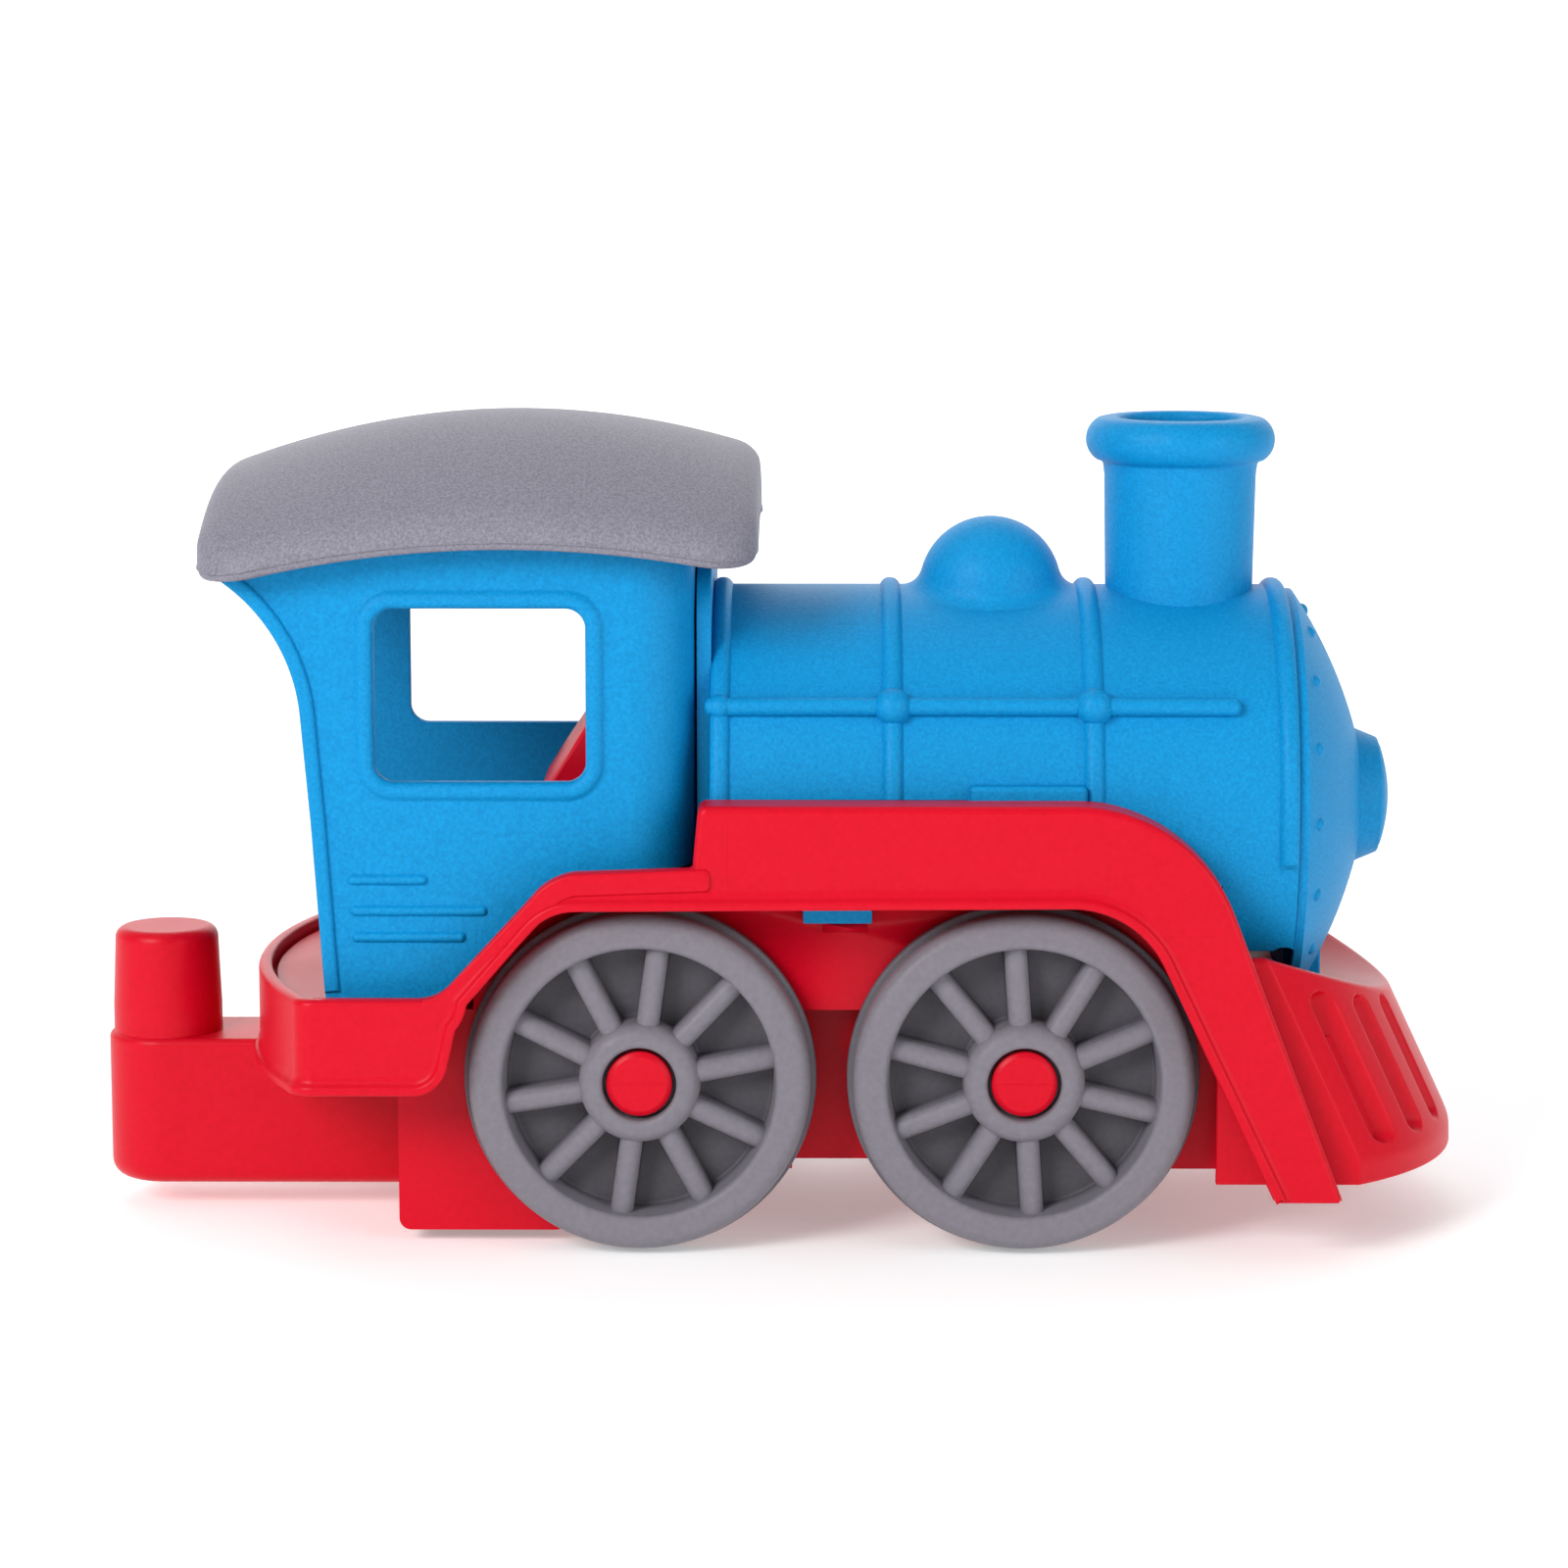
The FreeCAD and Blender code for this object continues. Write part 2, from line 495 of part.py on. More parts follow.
def running_board():
    """Deck, fenders and front legs in one moulding: a bent plate with skirt, raised rim and outer lip."""
    body = new_body("running_board")
    lower, lower_arcs = arch_line()
    upper = rim_line()
    side = new_sketch(body, "XZ_Plane", "board_side")
    arcs = dict(lower_arcs)
    arcs.update({11: ("left", "slope_foot_arc"), 13: ("right", "crest_arc"), 16: ("right", "step_arc"),
                 18: ("right", "fender_arc")})
    outline(side, lower + upper, arcs)
    pad(body, side, "2*board_half_width", "Symmetric")
    ends = new_sketch(body, "XY_Plane", "deck_end")
    outline(ends, [
        ("deck_rear - 5", "-lip_half_width - 5"), ("deck_corner_x", "-lip_half_width - 5"),
        ("deck_corner_x", "-board_half_width"), ("deck_corner_x", "board_half_width"),
        ("deck_corner_x", "lip_half_width + 5"), ("deck_rear - 5", "lip_half_width + 5"),
    ], {2: ("right", "deck_arc_radius")})
    pocket(body, ends, "rim_top + 10", back=True)
    fillet(body, lambda edge: along(edge, "z") and abs(edge.BoundBox.XMin - SIZES["deck_corner_x"]) < 0.1
           and edge.Length > 10, SIZES["deck_corner"], "deck_corner_round")
    raised, raised_arcs = arch_line("lip_lean", "lip_height")
    lip = new_sketch(body, "XZ_Plane", "board_lip")
    back = list(reversed(raised[:-1]))
    rear_low, rear_high = ("deck_corner_x + 1", "skirt_bottom"), ("deck_corner_x + 1", "skirt_bottom + lip_height")
    lip_arcs = dict(lower_arcs)
    for number, (turn, radius) in raised_arcs.items():
        lip_arcs[18 - number] = ("right" if turn == "left" else "left", radius)
    outline(lip, lower[:-1] + [rear_low, rear_high] + back, lip_arcs)
    pad(body, lip, "2*lip_half_width", "Symmetric")
    hollow = new_sketch(body, "XZ_Plane", "board_inside")
    under = rim_line("plate_drop", "board_wall")
    below = "foot_bottom - 5"
    outline(hollow, [("deck_rear", below)] + under[:-1] + [("foot_front_x - foot_wall", below)],
            {9: ("right", "fender_arc - board_wall")})
    pocket(body, hollow, "2*board_half_width - 2*board_wall", "Symmetric")
    floor = new_sketch(body, "XZ_Plane", "deck_floor")
    above = rim_line("rim_depth", "0")[:5]
    outline(floor, above + [("step_x", "crest_z - rim_depth + 0.4"), ("step_x", "fender_top + 5"),
                            ("deck_rear", "fender_top + 5")])
    pocket(body, floor, "2*board_half_width - 2*rim_width", "Symmetric")
    rim = new_sketch(body, "XY_Plane", "deck_rim", "skirt_bottom")
    rear_wall(rim, "board_half_width", "rim_width", "0")
    pad(body, rim, "rim_top - skirt_bottom")
    edge_lip = new_sketch(body, "XY_Plane", "deck_lip", "skirt_bottom")
    rear_wall(edge_lip, "lip_half_width", "rim_width", "rear_lip_proud")
    pad(body, edge_lip, "lip_height")
    channel = new_sketch(body, "XY_Plane", "boiler_channel", "frame_top")
    rectangle(channel, "step_x", "foot_front_x + 5", "-channel_half_width", "channel_half_width")
    pocket(body, channel, "fender_top - frame_top + 5", back=True)
    nose = new_sketch(body, "XY_Plane", "apron_room", "foot_bottom - 1")
    rectangle(nose, "apron_rear - 0.5", "foot_front_x + 5", "-apron_half_width - 0.3", "apron_half_width + 0.3")
    pocket(body, nose, "fender_top - foot_bottom + 5", back=True)
    walls = []
    for name, rear, front, inner, outer, low, high in (
            ("shelf", "step_x - 2", "apron_rear - 1", "frame_half_width - frame_wall",
             "channel_half_width + channel_wall", "shelf_bottom", "shelf_top"),
            ("catch", "catch_rear", "catch_front", "frame_half_width - 1", "frame_half_width + 1.2",
             "catch_bottom", "catch_top")):
        plan = new_sketch(body, "XY_Plane", name, low)
        rectangle(plan, rear, front, inner, outer)
        walls.append(pad(body, plan, high + " - " + low))
    channel_wall = new_sketch(body, "XZ_Plane", "channel_wall", "channel_half_width")
    outline(channel_wall, [
        ("step_x", "shelf_bottom"), ("wall_end_x", "shelf_bottom"), ("wall_end_x", "wall_end_z"),
        ("wall_bend_x", "wall_bend_z"), ("fender_arc_x", "fender_top - 0.6*board_wall"),
        ("step_x + board_wall", "fender_top - 0.6*board_wall"),
    ])
    walls.append(pad(body, channel_wall, "channel_wall"))
    inner = new_sketch(body, "XZ_Plane", "inner_wall", "frame_half_width - frame_wall")
    roofline = rim_line("wall_top_drop", "board_wall")[2:5]
    outline(inner, [
        (roofline[0][0], "frame_top"), ("frame_front", "frame_top"), ("frame_front", "shelf_top"),
        ("step_x", "shelf_top"),
    ] + list(reversed(roofline)))
    walls.append(pad(body, inner, "frame_wall"))
    doc.recompute()
    mirror(body, walls)
    notch = new_sketch(body, "XY_Plane", "beam_notch", "skirt_bottom - 1")
    rectangle(notch, "deck_rear", "deck_corner_x + 5", "-beam_half_width - 0.3", "beam_half_width + 0.3")
    pocket(body, notch, "beam_top - skirt_bottom + 1.3", back=True)
    notch = new_sketch(body, "XY_Plane", "boss_notch", "boss_bottom - 0.4")
    rectangle(notch, "boss_rear - 0.4", "boss_front + 0.4", "-boss_half_width - 0.3", "boss_half_width + 0.3")
    pocket(body, notch, "fender_top - boss_bottom + 1", back=True)
    slots = new_sketch(body, "XY_Plane", "tab_slots", "shelf_bottom - 1")
    for sign in ("", "-"):
        ends = (sign + "tab_inner " + ("-" if not sign else "+") + " slot_clearance",
                sign + "tab_outer " + ("+" if not sign else "-") + " slot_clearance")
        rectangle(slots, "tab_rear - slot_clearance", "tab_front + slot_clearance", *ends)
    pocket(body, slots, "shelf_top - shelf_bottom + 1.5", back=True)
    return body


def rear_wall(sketch, half_width, thickness, proud):
    """A curved wall across the rear end of the deck, as thick as given."""
    grow = " - " + proud
    outline(sketch, [
        ("deck_corner_x" + grow, minus(half_width)), ("deck_corner_x + " + thickness, minus(half_width)),
        ("deck_corner_x + " + thickness, half_width), ("deck_corner_x" + grow, half_width),
    ], {1: ("right", "deck_arc_radius"), 3: ("left", "deck_arc_radius")})


# ---------------------------------------------------------------- front apron

def cowcatcher():
    """The apron: a bow-fronted plough that leans back as it rises, hollow behind, saddled on top."""
    body = new_body("cowcatcher")
    lean = FreeCAD.Vector(-APRON_LEAN, 0, 1)
    for name, shrink, make in (("apron", "0", pad), ("apron_inside", "apron_wall", pocket)):
        half = "apron_half_width - " + shrink
        corner, nose = "apron_corner_x - " + shrink, "apron_nose - " + shrink
        band = new_sketch(body, "XY_Plane", name + "_band", "apron_bottom")
        slope = new_sketch(body, "XY_Plane", name + "_slope", "apron_bottom + apron_band")
        for sketch in (band, slope):
            outline(sketch, [
                ("apron_rear", minus(half)), (corner, minus(half)), (nose, "0"), (corner, half),
                ("apron_rear", half),
            ], {1: ("left", "apron_arc_radius - " + shrink), 2: ("left", "apron_arc_radius - " + shrink)})
        if make is pad:
            pad(body, band, "apron_band")
            leaning = pad(body, slope, "apron_height - apron_band")
        else:
            pocket(body, band, "apron_band", back=True)
            leaning = pocket(body, slope, "apron_height - apron_band - apron_roof", back=True)
        leaning.UseCustomVector = True
        leaning.Direction = lean * (1 if make is pad else -1)
        leaning.AlongSketchNormal = True
        doc.recompute()
        if make is pad:
            behind = new_sketch(body, "XY_Plane", "apron_back", "apron_bottom - 1")
            rectangle(behind, "apron_rear - 40", "apron_rear", "-apron_half_width - 5", "apron_half_width + 5")
            pocket(body, behind, "apron_height + 10", back=True)
            saddle = new_sketch(body, "YZ_Plane", "apron_saddle", "apron_rear")
            disc(saddle, "0", "apron_saddle_z + apron_saddle_radius", "apron_saddle_radius")
            pocket(body, saddle, "200", "Symmetric")
    return body


# ---------------------------------------------------------------- cab and roof

def rear_edge(shift="0", raised="0"):
    """The cab's rear edge from just below the deck's rim up to the roof, moved forward by shift."""
    ahead = " + " + shift
    return [("edge_foot_x - 0.06*" + raised + ahead, "rim_top - 4 + " + raised), ("edge_mid_x" + ahead, "edge_mid_z"),
            ("edge_bend_x" + ahead, "edge_bend_z"), ("edge_top_x" + ahead, "edge_top_z")]


def cab_body():
    """The cab's shell before its top is trimmed to the roof: two sides and a front, open behind."""
    body = new_body("cab_walls")
    plan = new_sketch(body, "XY_Plane", "cab_plan", "rim_top - rim_depth")
    inner, inset = "cab_half_width - cab_wall", "cab_front - cab_wall"
    bend, bend_in = "cab_corner_radius", "cab_corner_radius - cab_wall"
    outline(plan, [
        ("deck_rear", "-cab_half_width"), ("cab_front - " + bend, "-cab_half_width"),
        ("cab_front", "-cab_half_width + " + bend), ("cab_front", "cab_half_width - " + bend),
        ("cab_front - " + bend, "cab_half_width"), ("deck_rear", "cab_half_width"),
        ("deck_rear", inner), ("cab_front - " + bend, inner), (inset, "cab_half_width - " + bend),
        (inset, "-cab_half_width + " + bend), ("cab_front - " + bend, minus(inner)), ("deck_rear", minus(inner)),
    ], {1: ("left", bend), 3: ("left", bend), 7: ("right", bend_in), 9: ("right", bend_in)})
    pad(body, plan, "roof_crest - rim_top")
    foot = new_sketch(body, "XZ_Plane", "cab_foot")
    above = rim_line("floor_drop", "0")[:5]
    outline(foot, above + [("cab_front + 5", "crest_z - floor_drop + 0.5"), ("cab_front + 5", "rim_top - 10"),
                           ("deck_rear", "rim_top - 10")])
    pocket(body, foot, "2*cab_half_width + 10", "Symmetric")
    sides = []
    proud = "edge_bead_proud"
    bead = new_sketch(body, "XZ_Plane", "edge_bead", "cab_half_width")
    line, shifted = rear_edge("0", "bead_rise"), rear_edge("edge_bead_width", "bead_rise")
    outline(bead, line + list(reversed(shifted)),
            {2: ("left", "edge_bend_radius"), 4: ("right", "edge_bend_radius")})
    sides.append(pad(body, bead, proud))
    frame = new_sketch(body, "XZ_Plane", "window_bead", "cab_half_width")
    rounded_rectangle(frame, "window_rear - bead_width", "window_front + bead_width",
                      "window_bottom - bead_width", "window_top + bead_width", "window_radius + bead_width")
    sides.append(pad(body, frame, "bead_proud"))
    for name in ("rib_1", "rib_2", "rib_3"):
        rib = new_sketch(body, "XZ_Plane", name, "cab_half_width")
        rounded_rectangle(rib, name + "_rear", name + "_front", name + "_z - 0.5*rib_height",
                          name + "_z + 0.5*rib_height", "0.45*rib_height")
        sides.append(pad(body, rib, "rib_proud"))
    doc.recompute()
    mirror(body, sides)
    behind = new_sketch(body, "XZ_Plane", "cab_rear_cut")
    outline(behind, rear_edge() + [("edge_top_x", "roof_crest + 5"), ("deck_rear - 5", "roof_crest + 5"),
                                   ("deck_rear - 5", "rim_top - 4")], {2: ("left", "edge_bend_radius")})
    pocket(body, behind, "2*cab_half_width + 10", "Symmetric")
    window = new_sketch(body, "XZ_Plane", "side_windows")
    rounded_rectangle(window, "window_rear", "window_front", "window_bottom", "window_top", "window_radius")
    pocket(body, window, "2*cab_half_width + 10", "Symmetric")
    return body


def roof_slab(drop, inset, depth):
    """A slab arched both ways: its top lies drop below the roof's, its sides inset, and it is depth thick."""
    crest_x, half = SIZES["roof_crest_x"], SIZES["roof_half_width"] - inset
    rear, front = SIZES["roof_rear"] + inset, SIZES["roof_front"] - inset
    sections = []
    for number in range(ROOF_STATIONS):
        x = rear + (front - rear) * number / (ROOF_STATIONS - 1)
        crest = SIZES["roof_crest"] - (x - crest_x) ** 2 / (2 * SIZES["roof_length_radius"]) - drop
        eave = SIZES["eave_bottom"] - (x - crest_x) ** 2 / (2 * SIZES["eave_length_radius"]) - drop
        shoulder = eave + SIZES["roof_rim"]
        corners = [FreeCAD.Vector(x, y, z) for y, z in ((-half, shoulder), (0, crest), (half, shoulder))]
        lower = [corner - FreeCAD.Vector(0, 0, depth) for corner in corners]
        sections.append(Part.Wire([
            Part.Arc(*corners).toShape(), Part.makeLine(corners[2], lower[2]),
            Part.Arc(*reversed(lower)).toShape(), Part.makeLine(lower[0], corners[0]),
        ]))
    slab = Part.makeLoft(sections, True, False)
    return slab.common(plan_prism(inset))


def plan_prism(inset):
    """An upright prism over the roof's plan, drawn in by inset, with round corners."""
    low = FreeCAD.Vector(SIZES["roof_rear"] + inset, inset - SIZES["roof_half_width"], 0)
    block = Part.makeBox(SIZES["roof_front"] - SIZES["roof_rear"] - 2 * inset,
                         2 * (SIZES["roof_half_width"] - inset), SIZES["roof_crest"] + 10, low)
    uprights = [edge for edge in block.Edges if edge.BoundBox.ZLength > 100]
    return block.makeFillet(SIZES["roof_corner_radius"] - inset, uprights)


def roof():
    """A canopy arched along and across, with a rim all round and a short skirt inside it."""
    wall, rim = SIZES["roof_wall"], SIZES["roof_rim"]
    canopy = roof_slab(0, 0, rim).cut(roof_slab(wall, wall, rim))
    skirt_inset, skirt_wall, skirt_drop = wall + 0.4, 1.5, 1.6
    skirt = roof_slab(wall - 0.1, skirt_inset, rim + skirt_drop)
    skirt = skirt.cut(roof_slab(wall - 1, skirt_inset + skirt_wall, rim + 5 * skirt_drop))
    piece = doc.addObject("Part::Feature", "roof")
    piece.Shape = canopy.fuse(skirt).removeSplitter()
    return piece


def cab_shell():
    """The cab's walls, trimmed to the underside of the roof."""
    room = doc.addObject("Part::Feature", "under_roof")
    room.Shape = roof_slab(SIZES["roof_wall"] + 0.2, SIZES["roof_wall"] + 2.2, SIZES["roof_crest"])
    cab = doc.addObject("Part::Common", "cab_shell")
    cab.Base = cab_body()
    cab.Tool = room
    return cab


def backhead():
    """The end of the firebox inside the cab: a block whose rear face leans forward as it rises."""
    body = new_body("backhead")
    side = new_sketch(body, "XZ_Plane", "backhead_side")
    outline(side, [
        ("backhead_foot_x", "backhead_foot_z"), ("slope_head_x + 1.63", "slope_head_z - 1.3"),
        ("crest_x + 0.7", "crest_z - 1.9"), ("backhead_front", "crest_z - 1.7"),
        ("backhead_front", "backhead_top - 1"), ("backhead_crest_x", "backhead_top"),
        ("backhead_brow_x", "backhead_brow_z"), ("backhead_face_x", "backhead_face_z"),
    ], {5: ("left", "backhead_round")})
    pad(body, side, "2*backhead_half_width", "Symmetric")
    return body


# ---------------------------------------------------------------- boiler, chimney and smokebox front

def boiler_shell():
    """The barrel about its own axis: bands, dome, handrails, rear plate and clips, hollow, open below."""
    body = new_body("boiler_shell")
    barrel = new_sketch(body, "XY_Plane", "barrel_section")
    points, arcs = [("boiler_rear", "0")], {}
    for centre in ("boiler_rear + 0.5*band_width", "rear_band_x", "front_band_x",
                   "boiler_front - 0.5*band_width"):
        arcs[len(points)] = ("right", "band_arc")
        points += [(centre + " - 0.5*band_width", "boiler_radius"), (centre + " + 0.5*band_width", "boiler_radius")]
    outline(barrel, points + [("boiler_front", "0")], arcs)
    revolve(body, barrel, "H_Axis")
    dome = new_sketch(body, "XZ_Plane", "dome_section")
    upright_axis(dome, "dome_x")
    centre = "dome_top - boiler_axis - dome_radius"
    outline(dome, [
        ("dome_x", centre + " - dome_radius"), ("dome_x + dome_radius", centre),
        ("dome_x", "dome_top - boiler_axis"),
    ], {0: ("left", "dome_radius"), 1: ("left", "dome_radius")})
    revolve(body, dome, "Axis0")
    doc.recompute()
    fillet(body, lambda edge: edge.BoundBox.ZMin > 35 and edge.BoundBox.XMin > 25 and edge.BoundBox.XMax < 57
           and edge.BoundBox.ZMax < 43, DOME_ROOT_ROUND, "dome_root_round")
    rail = new_sketch(body, "YZ_Plane", "rail_section", "rail_rear")
    disc(rail, "-rail_offset", "rail_height - boiler_axis", "rail_radius")
    fittings = [pad(body, rail, "rail_front - rail_rear")]
    for centre in ("rear_band_x", "front_band_x"):
        ball = new_sketch(body, "YZ_Plane", centre[:-2] + "_ball_section", centre)
        height = "rail_height - boiler_axis"
        outline(ball, [
            ("-rail_offset", height + " - ball_radius"), ("-rail_offset", height + " + ball_radius"),
            ("-rail_offset - ball_radius", height),
        ], {1: ("left", "ball_radius"), 2: ("left", "ball_radius")})
        upright_axis(ball, "-rail_offset")
        fittings.append(revolve(body, ball, "Axis0"))
    doc.recompute()
    boss = new_sketch(body, "XY_Plane", "clip_boss", "boss_bottom - boiler_axis")
    rectangle(boss, "boss_rear", "boss_front", "-boss_half_width", "-38")
    fittings.append(pad(body, boss, "boss_top - boss_bottom"))
    tab = new_sketch(body, "XY_Plane", "clip_tab", "tab_bottom - boiler_axis")
    rectangle(tab, "tab_rear", "tab_front", "-tab_outer", "-tab_inner")
    fittings.append(pad(body, tab, "barrel_shelf - tab_bottom + 6"))
    doc.recompute()
    mirror(body, fittings)
    inside = new_sketch(body, "YZ_Plane", "barrel_inside", "boiler_rear")
    disc(inside, "0", "0", "boiler_radius - boiler_wall")
    pocket(body, inside, "boiler_front - boiler_rear + 5", back=True)
    lower = new_sketch(body, "XZ_Plane", "barrel_lower_cut")
    rectangle(lower, "boiler_rear - 3", "barrel_step_x", "-boiler_radius - 5", "barrel_shelf - boiler_axis")
    pocket(body, lower, "2*tab_inner - 0.2", "Symmetric")
    outer = new_sketch(body, "XZ_Plane", "barrel_outer_cut")
    outline(outer, [
        ("boiler_rear - 3", "-boiler_radius - 5"), ("barrel_step_x", "-boiler_radius - 5"),
        ("barrel_step_x", "barrel_shelf - boiler_axis"), ("tab_front", "barrel_shelf - boiler_axis"),
        ("tab_front", "tab_bottom - boiler_axis"), ("tab_rear", "tab_bottom - boiler_axis"),
        ("tab_rear", "barrel_shelf - boiler_axis"), ("boiler_rear - 3", "barrel_shelf - boiler_axis"),
    ])
    pocket(body, outer, "2*boiler_radius + 10", "Symmetric")
    front = new_sketch(body, "XZ_Plane", "barrel_front_cut")
    rectangle(front, "barrel_step_x", "boiler_front + 2", "-boiler_radius - 5", "barrel_bottom - boiler_axis")
    pocket(body, front, "2*boiler_radius + 10", "Symmetric")
    plate = new_sketch(body, "YZ_Plane", "rear_plate", "plate_rear")
    rounded_rectangle(plate, "-plate_half_width", "plate_half_width", "barrel_shelf + 4 - boiler_axis",
                      "plate_top - boiler_axis", "plate_corner")
    pad(body, plate, "boiler_rear - plate_rear + 0.2")
    flue = new_sketch(body, "XY_Plane", "chimney_hole", "0")
    disc(flue, "chimney_x", "0", "chimney_bore")
    pocket(body, flue, "boiler_radius + 10", back=True)
    place(body, z="boiler_axis")
    return body


def smokebox_front():
    """The domed front of the boiler with its lamp, a ring of rivets, and a tab below."""
    body = new_body("smokebox_front")
    rear = "boiler_front + front_gap"
    dome = new_sketch(body, "XY_Plane", "front_section")
    outline(dome, [
        (rear, "0"), (rear, "front_edge_radius"), (rear + " + 1.1", "front_edge_radius"), ("lamp_base", "lamp_radius"),
        ("lamp_face", "lamp_tip_radius"), ("lamp_tip", "0"),
    ], {2: ("right", "front_arc"), 4: ("right", "lamp_arc")})
    revolve(body, dome, "H_Axis")
    tab = new_sketch(body, "XZ_Plane", "front_tab")
    rectangle(tab, rear, "front_tab_front", "front_tab_bottom - boiler_axis", "-front_edge_radius + 12")
    pad(body, tab, "2*front_tab_half_width", "Symmetric")
    inside = new_sketch(body, "XY_Plane", "front_inside")
    outline(inside, [
        (rear + " - 1", "0"), (rear + " - 1", "front_edge_radius - boiler_wall"),
        (rear + " + 1", "front_edge_radius - boiler_wall"), ("lamp_base - 2.4", "lamp_radius - 1"),
        ("lamp_base + 2", "lamp_radius - 3"), ("lamp_face", "0"),
    ], {2: ("right", "front_arc")})
    revolve(body, inside, "H_Axis", "Groove")
    rivet = body.newObject("PartDesign::AdditiveSphere", "rivet")
    bind(rivet, Radius="rivet_radius")
    angle = math.radians(SIZES["first_rivet_angle"])
    ring = SIZES["rivet_ring_radius"]
    rivet.AttachmentOffset = FreeCAD.Placement(
        FreeCAD.Vector(SIZES["rivet_x"], -ring * math.cos(angle), ring * math.sin(angle)), FreeCAD.Rotation())
    rivet.Placement = rivet.AttachmentOffset
    polar(body, [rivet], "X_Axis", "rivet_count")
    clear = new_sketch(body, "YZ_Plane", "saddle_clearance", "boiler_front")
    rectangle(clear, "-100", "100", "-60", "200")
    disc(clear, "0", "apron_saddle_z + apron_saddle_radius - boiler_axis", "apron_saddle_radius - 1.2")
    pocket(body, clear, "20", back=True)
    place(body, z="boiler_axis")
    return body


def chimney():
    """A slightly flared stack with a round rim, saddled on the barrel."""
    body = new_body("chimney")
    section = new_sketch(body, "XZ_Plane", "chimney_section")
    rim_low, rim_mid = "chimney_top - 2*chimney_rim_half - 0.6", "chimney_top - chimney_rim_half"
    outline(section, [
        ("chimney_bore", "boiler_axis"), ("chimney_foot_radius", "boiler_axis"),
        ("chimney_top_radius", rim_low), ("chimney_top_radius + 1", rim_low + " + 1.1"),
        ("chimney_rim_radius", rim_mid), ("chimney_rim_radius - 2.2", "chimney_top"),
        ("chimney_bore + chimney_lip_round", "chimney_top"), ("chimney_bore", "chimney_top - chimney_lip_round"),
    ], {2: ("right", "rim_cove"), 3: ("left", "rim_under_arc"), 4: ("left", "rim_over_arc"),
        6: ("left", "chimney_lip_round")})
    revolve(body, section)
    place(body, x="chimney_x")
    saddle = new_sketch(body, "YZ_Plane", "chimney_saddle")
    disc(saddle, "0", "boiler_axis", "boiler_radius")
    pocket(body, saddle, "200", "Symmetric")
    return body


# ---------------------------------------------------------------- build, check and write

pieces = wheels_and_pins() + [
    underframe(), running_board(), cowcatcher(), cab_shell(), roof(), backhead(),
    boiler_shell(), smokebox_front(), chimney(),
]
doc.recompute()
for item in doc.Objects:
    if "Invalid" in item.State or "Error" in item.State:
        raise RuntimeError("%s did not rebuild: %s" % (item.Label, item.State))
for piece in pieces:
    if piece.Shape.isNull() or not piece.Shape.isValid() or len(piece.Shape.Solids) != 1:
        raise RuntimeError("%s is not one valid solid" % piece.Label)
os.makedirs("parts", exist_ok=True)
for piece in pieces:
    piece.Shape.exportStep("parts/%s.step" % piece.Label)
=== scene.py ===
import json
import math

import bmesh
import bpy
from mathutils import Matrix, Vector
from mathutils.geometry import tessellate_polygon


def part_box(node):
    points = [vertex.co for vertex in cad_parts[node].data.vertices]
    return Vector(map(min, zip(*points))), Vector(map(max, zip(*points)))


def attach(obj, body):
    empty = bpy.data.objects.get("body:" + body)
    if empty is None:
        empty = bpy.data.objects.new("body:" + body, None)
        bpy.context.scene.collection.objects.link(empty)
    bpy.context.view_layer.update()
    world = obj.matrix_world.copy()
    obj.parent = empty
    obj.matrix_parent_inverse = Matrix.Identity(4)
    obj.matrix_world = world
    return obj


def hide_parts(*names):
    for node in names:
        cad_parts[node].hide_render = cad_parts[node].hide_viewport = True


# Toy locomotive. The shapes below are worked out in millimetres in the frame's own axes:
# +X is the engine's front, +Y its left side, +Z up, and the ground is Z 0.

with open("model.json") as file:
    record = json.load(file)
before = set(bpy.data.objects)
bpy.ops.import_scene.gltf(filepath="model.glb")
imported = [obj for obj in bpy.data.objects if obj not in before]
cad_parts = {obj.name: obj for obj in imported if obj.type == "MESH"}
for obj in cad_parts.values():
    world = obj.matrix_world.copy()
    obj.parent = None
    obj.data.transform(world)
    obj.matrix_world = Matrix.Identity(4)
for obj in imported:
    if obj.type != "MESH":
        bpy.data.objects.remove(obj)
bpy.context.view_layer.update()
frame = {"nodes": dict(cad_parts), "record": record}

MM = 0.001
ARC_STEP, ARC_SAG = math.radians(6), 0.008     # an arc's chords turn and sag no more than this
TURN_STEPS = 144
WELD, SLIVER = 0.002 * MM, 0.001 * MM          # closer points are one point, and shorter edges go
CHASSIS = "chassis"
SIDES = {"left": 1, "right": -1}
AXLES = {"front": 94.0, "rear": 82.0}          # the angle of one spoke above the X axis, in degrees


# ---------------------------------------------------------------- lines in a plane

def arc(start, end, radius, side):
    """Points on the arc from start to end that turns to that side, without start itself."""
    turn = 1 if side == "left" else -1
    chord = end - start
    rise = math.sqrt(max(radius ** 2 - chord.length_squared / 4, 0.0))
    centre = (start + end) / 2 + Vector((-chord.y, chord.x)).normalized() * rise * turn
    sweep = 2 * math.asin(min(chord.length / 2 / radius, 1.0))
    steps = max(2, math.ceil(sweep / min(ARC_STEP, 2 * math.acos(1 - ARC_SAG / radius))))
    spoke = start - centre
    points = []
    for number in range(1, steps + 1):
        angle = turn * sweep * number / steps
        points.append(centre + Vector((spoke.x * math.cos(angle) - spoke.y * math.sin(angle),
                                       spoke.x * math.sin(angle) + spoke.y * math.cos(angle))))
    return points


def trace(*moves):
    """A line through the moves: (x, y) goes straight there, (x, y, radius, side) goes there on an arc."""
    points = [Vector(moves[0])]
    for move in moves[1:]:
        if len(move) == 2:
            points.append(Vector(move))
        else:
            points += arc(points[-1], Vector(move[:2]), move[2], move[3])
    return points


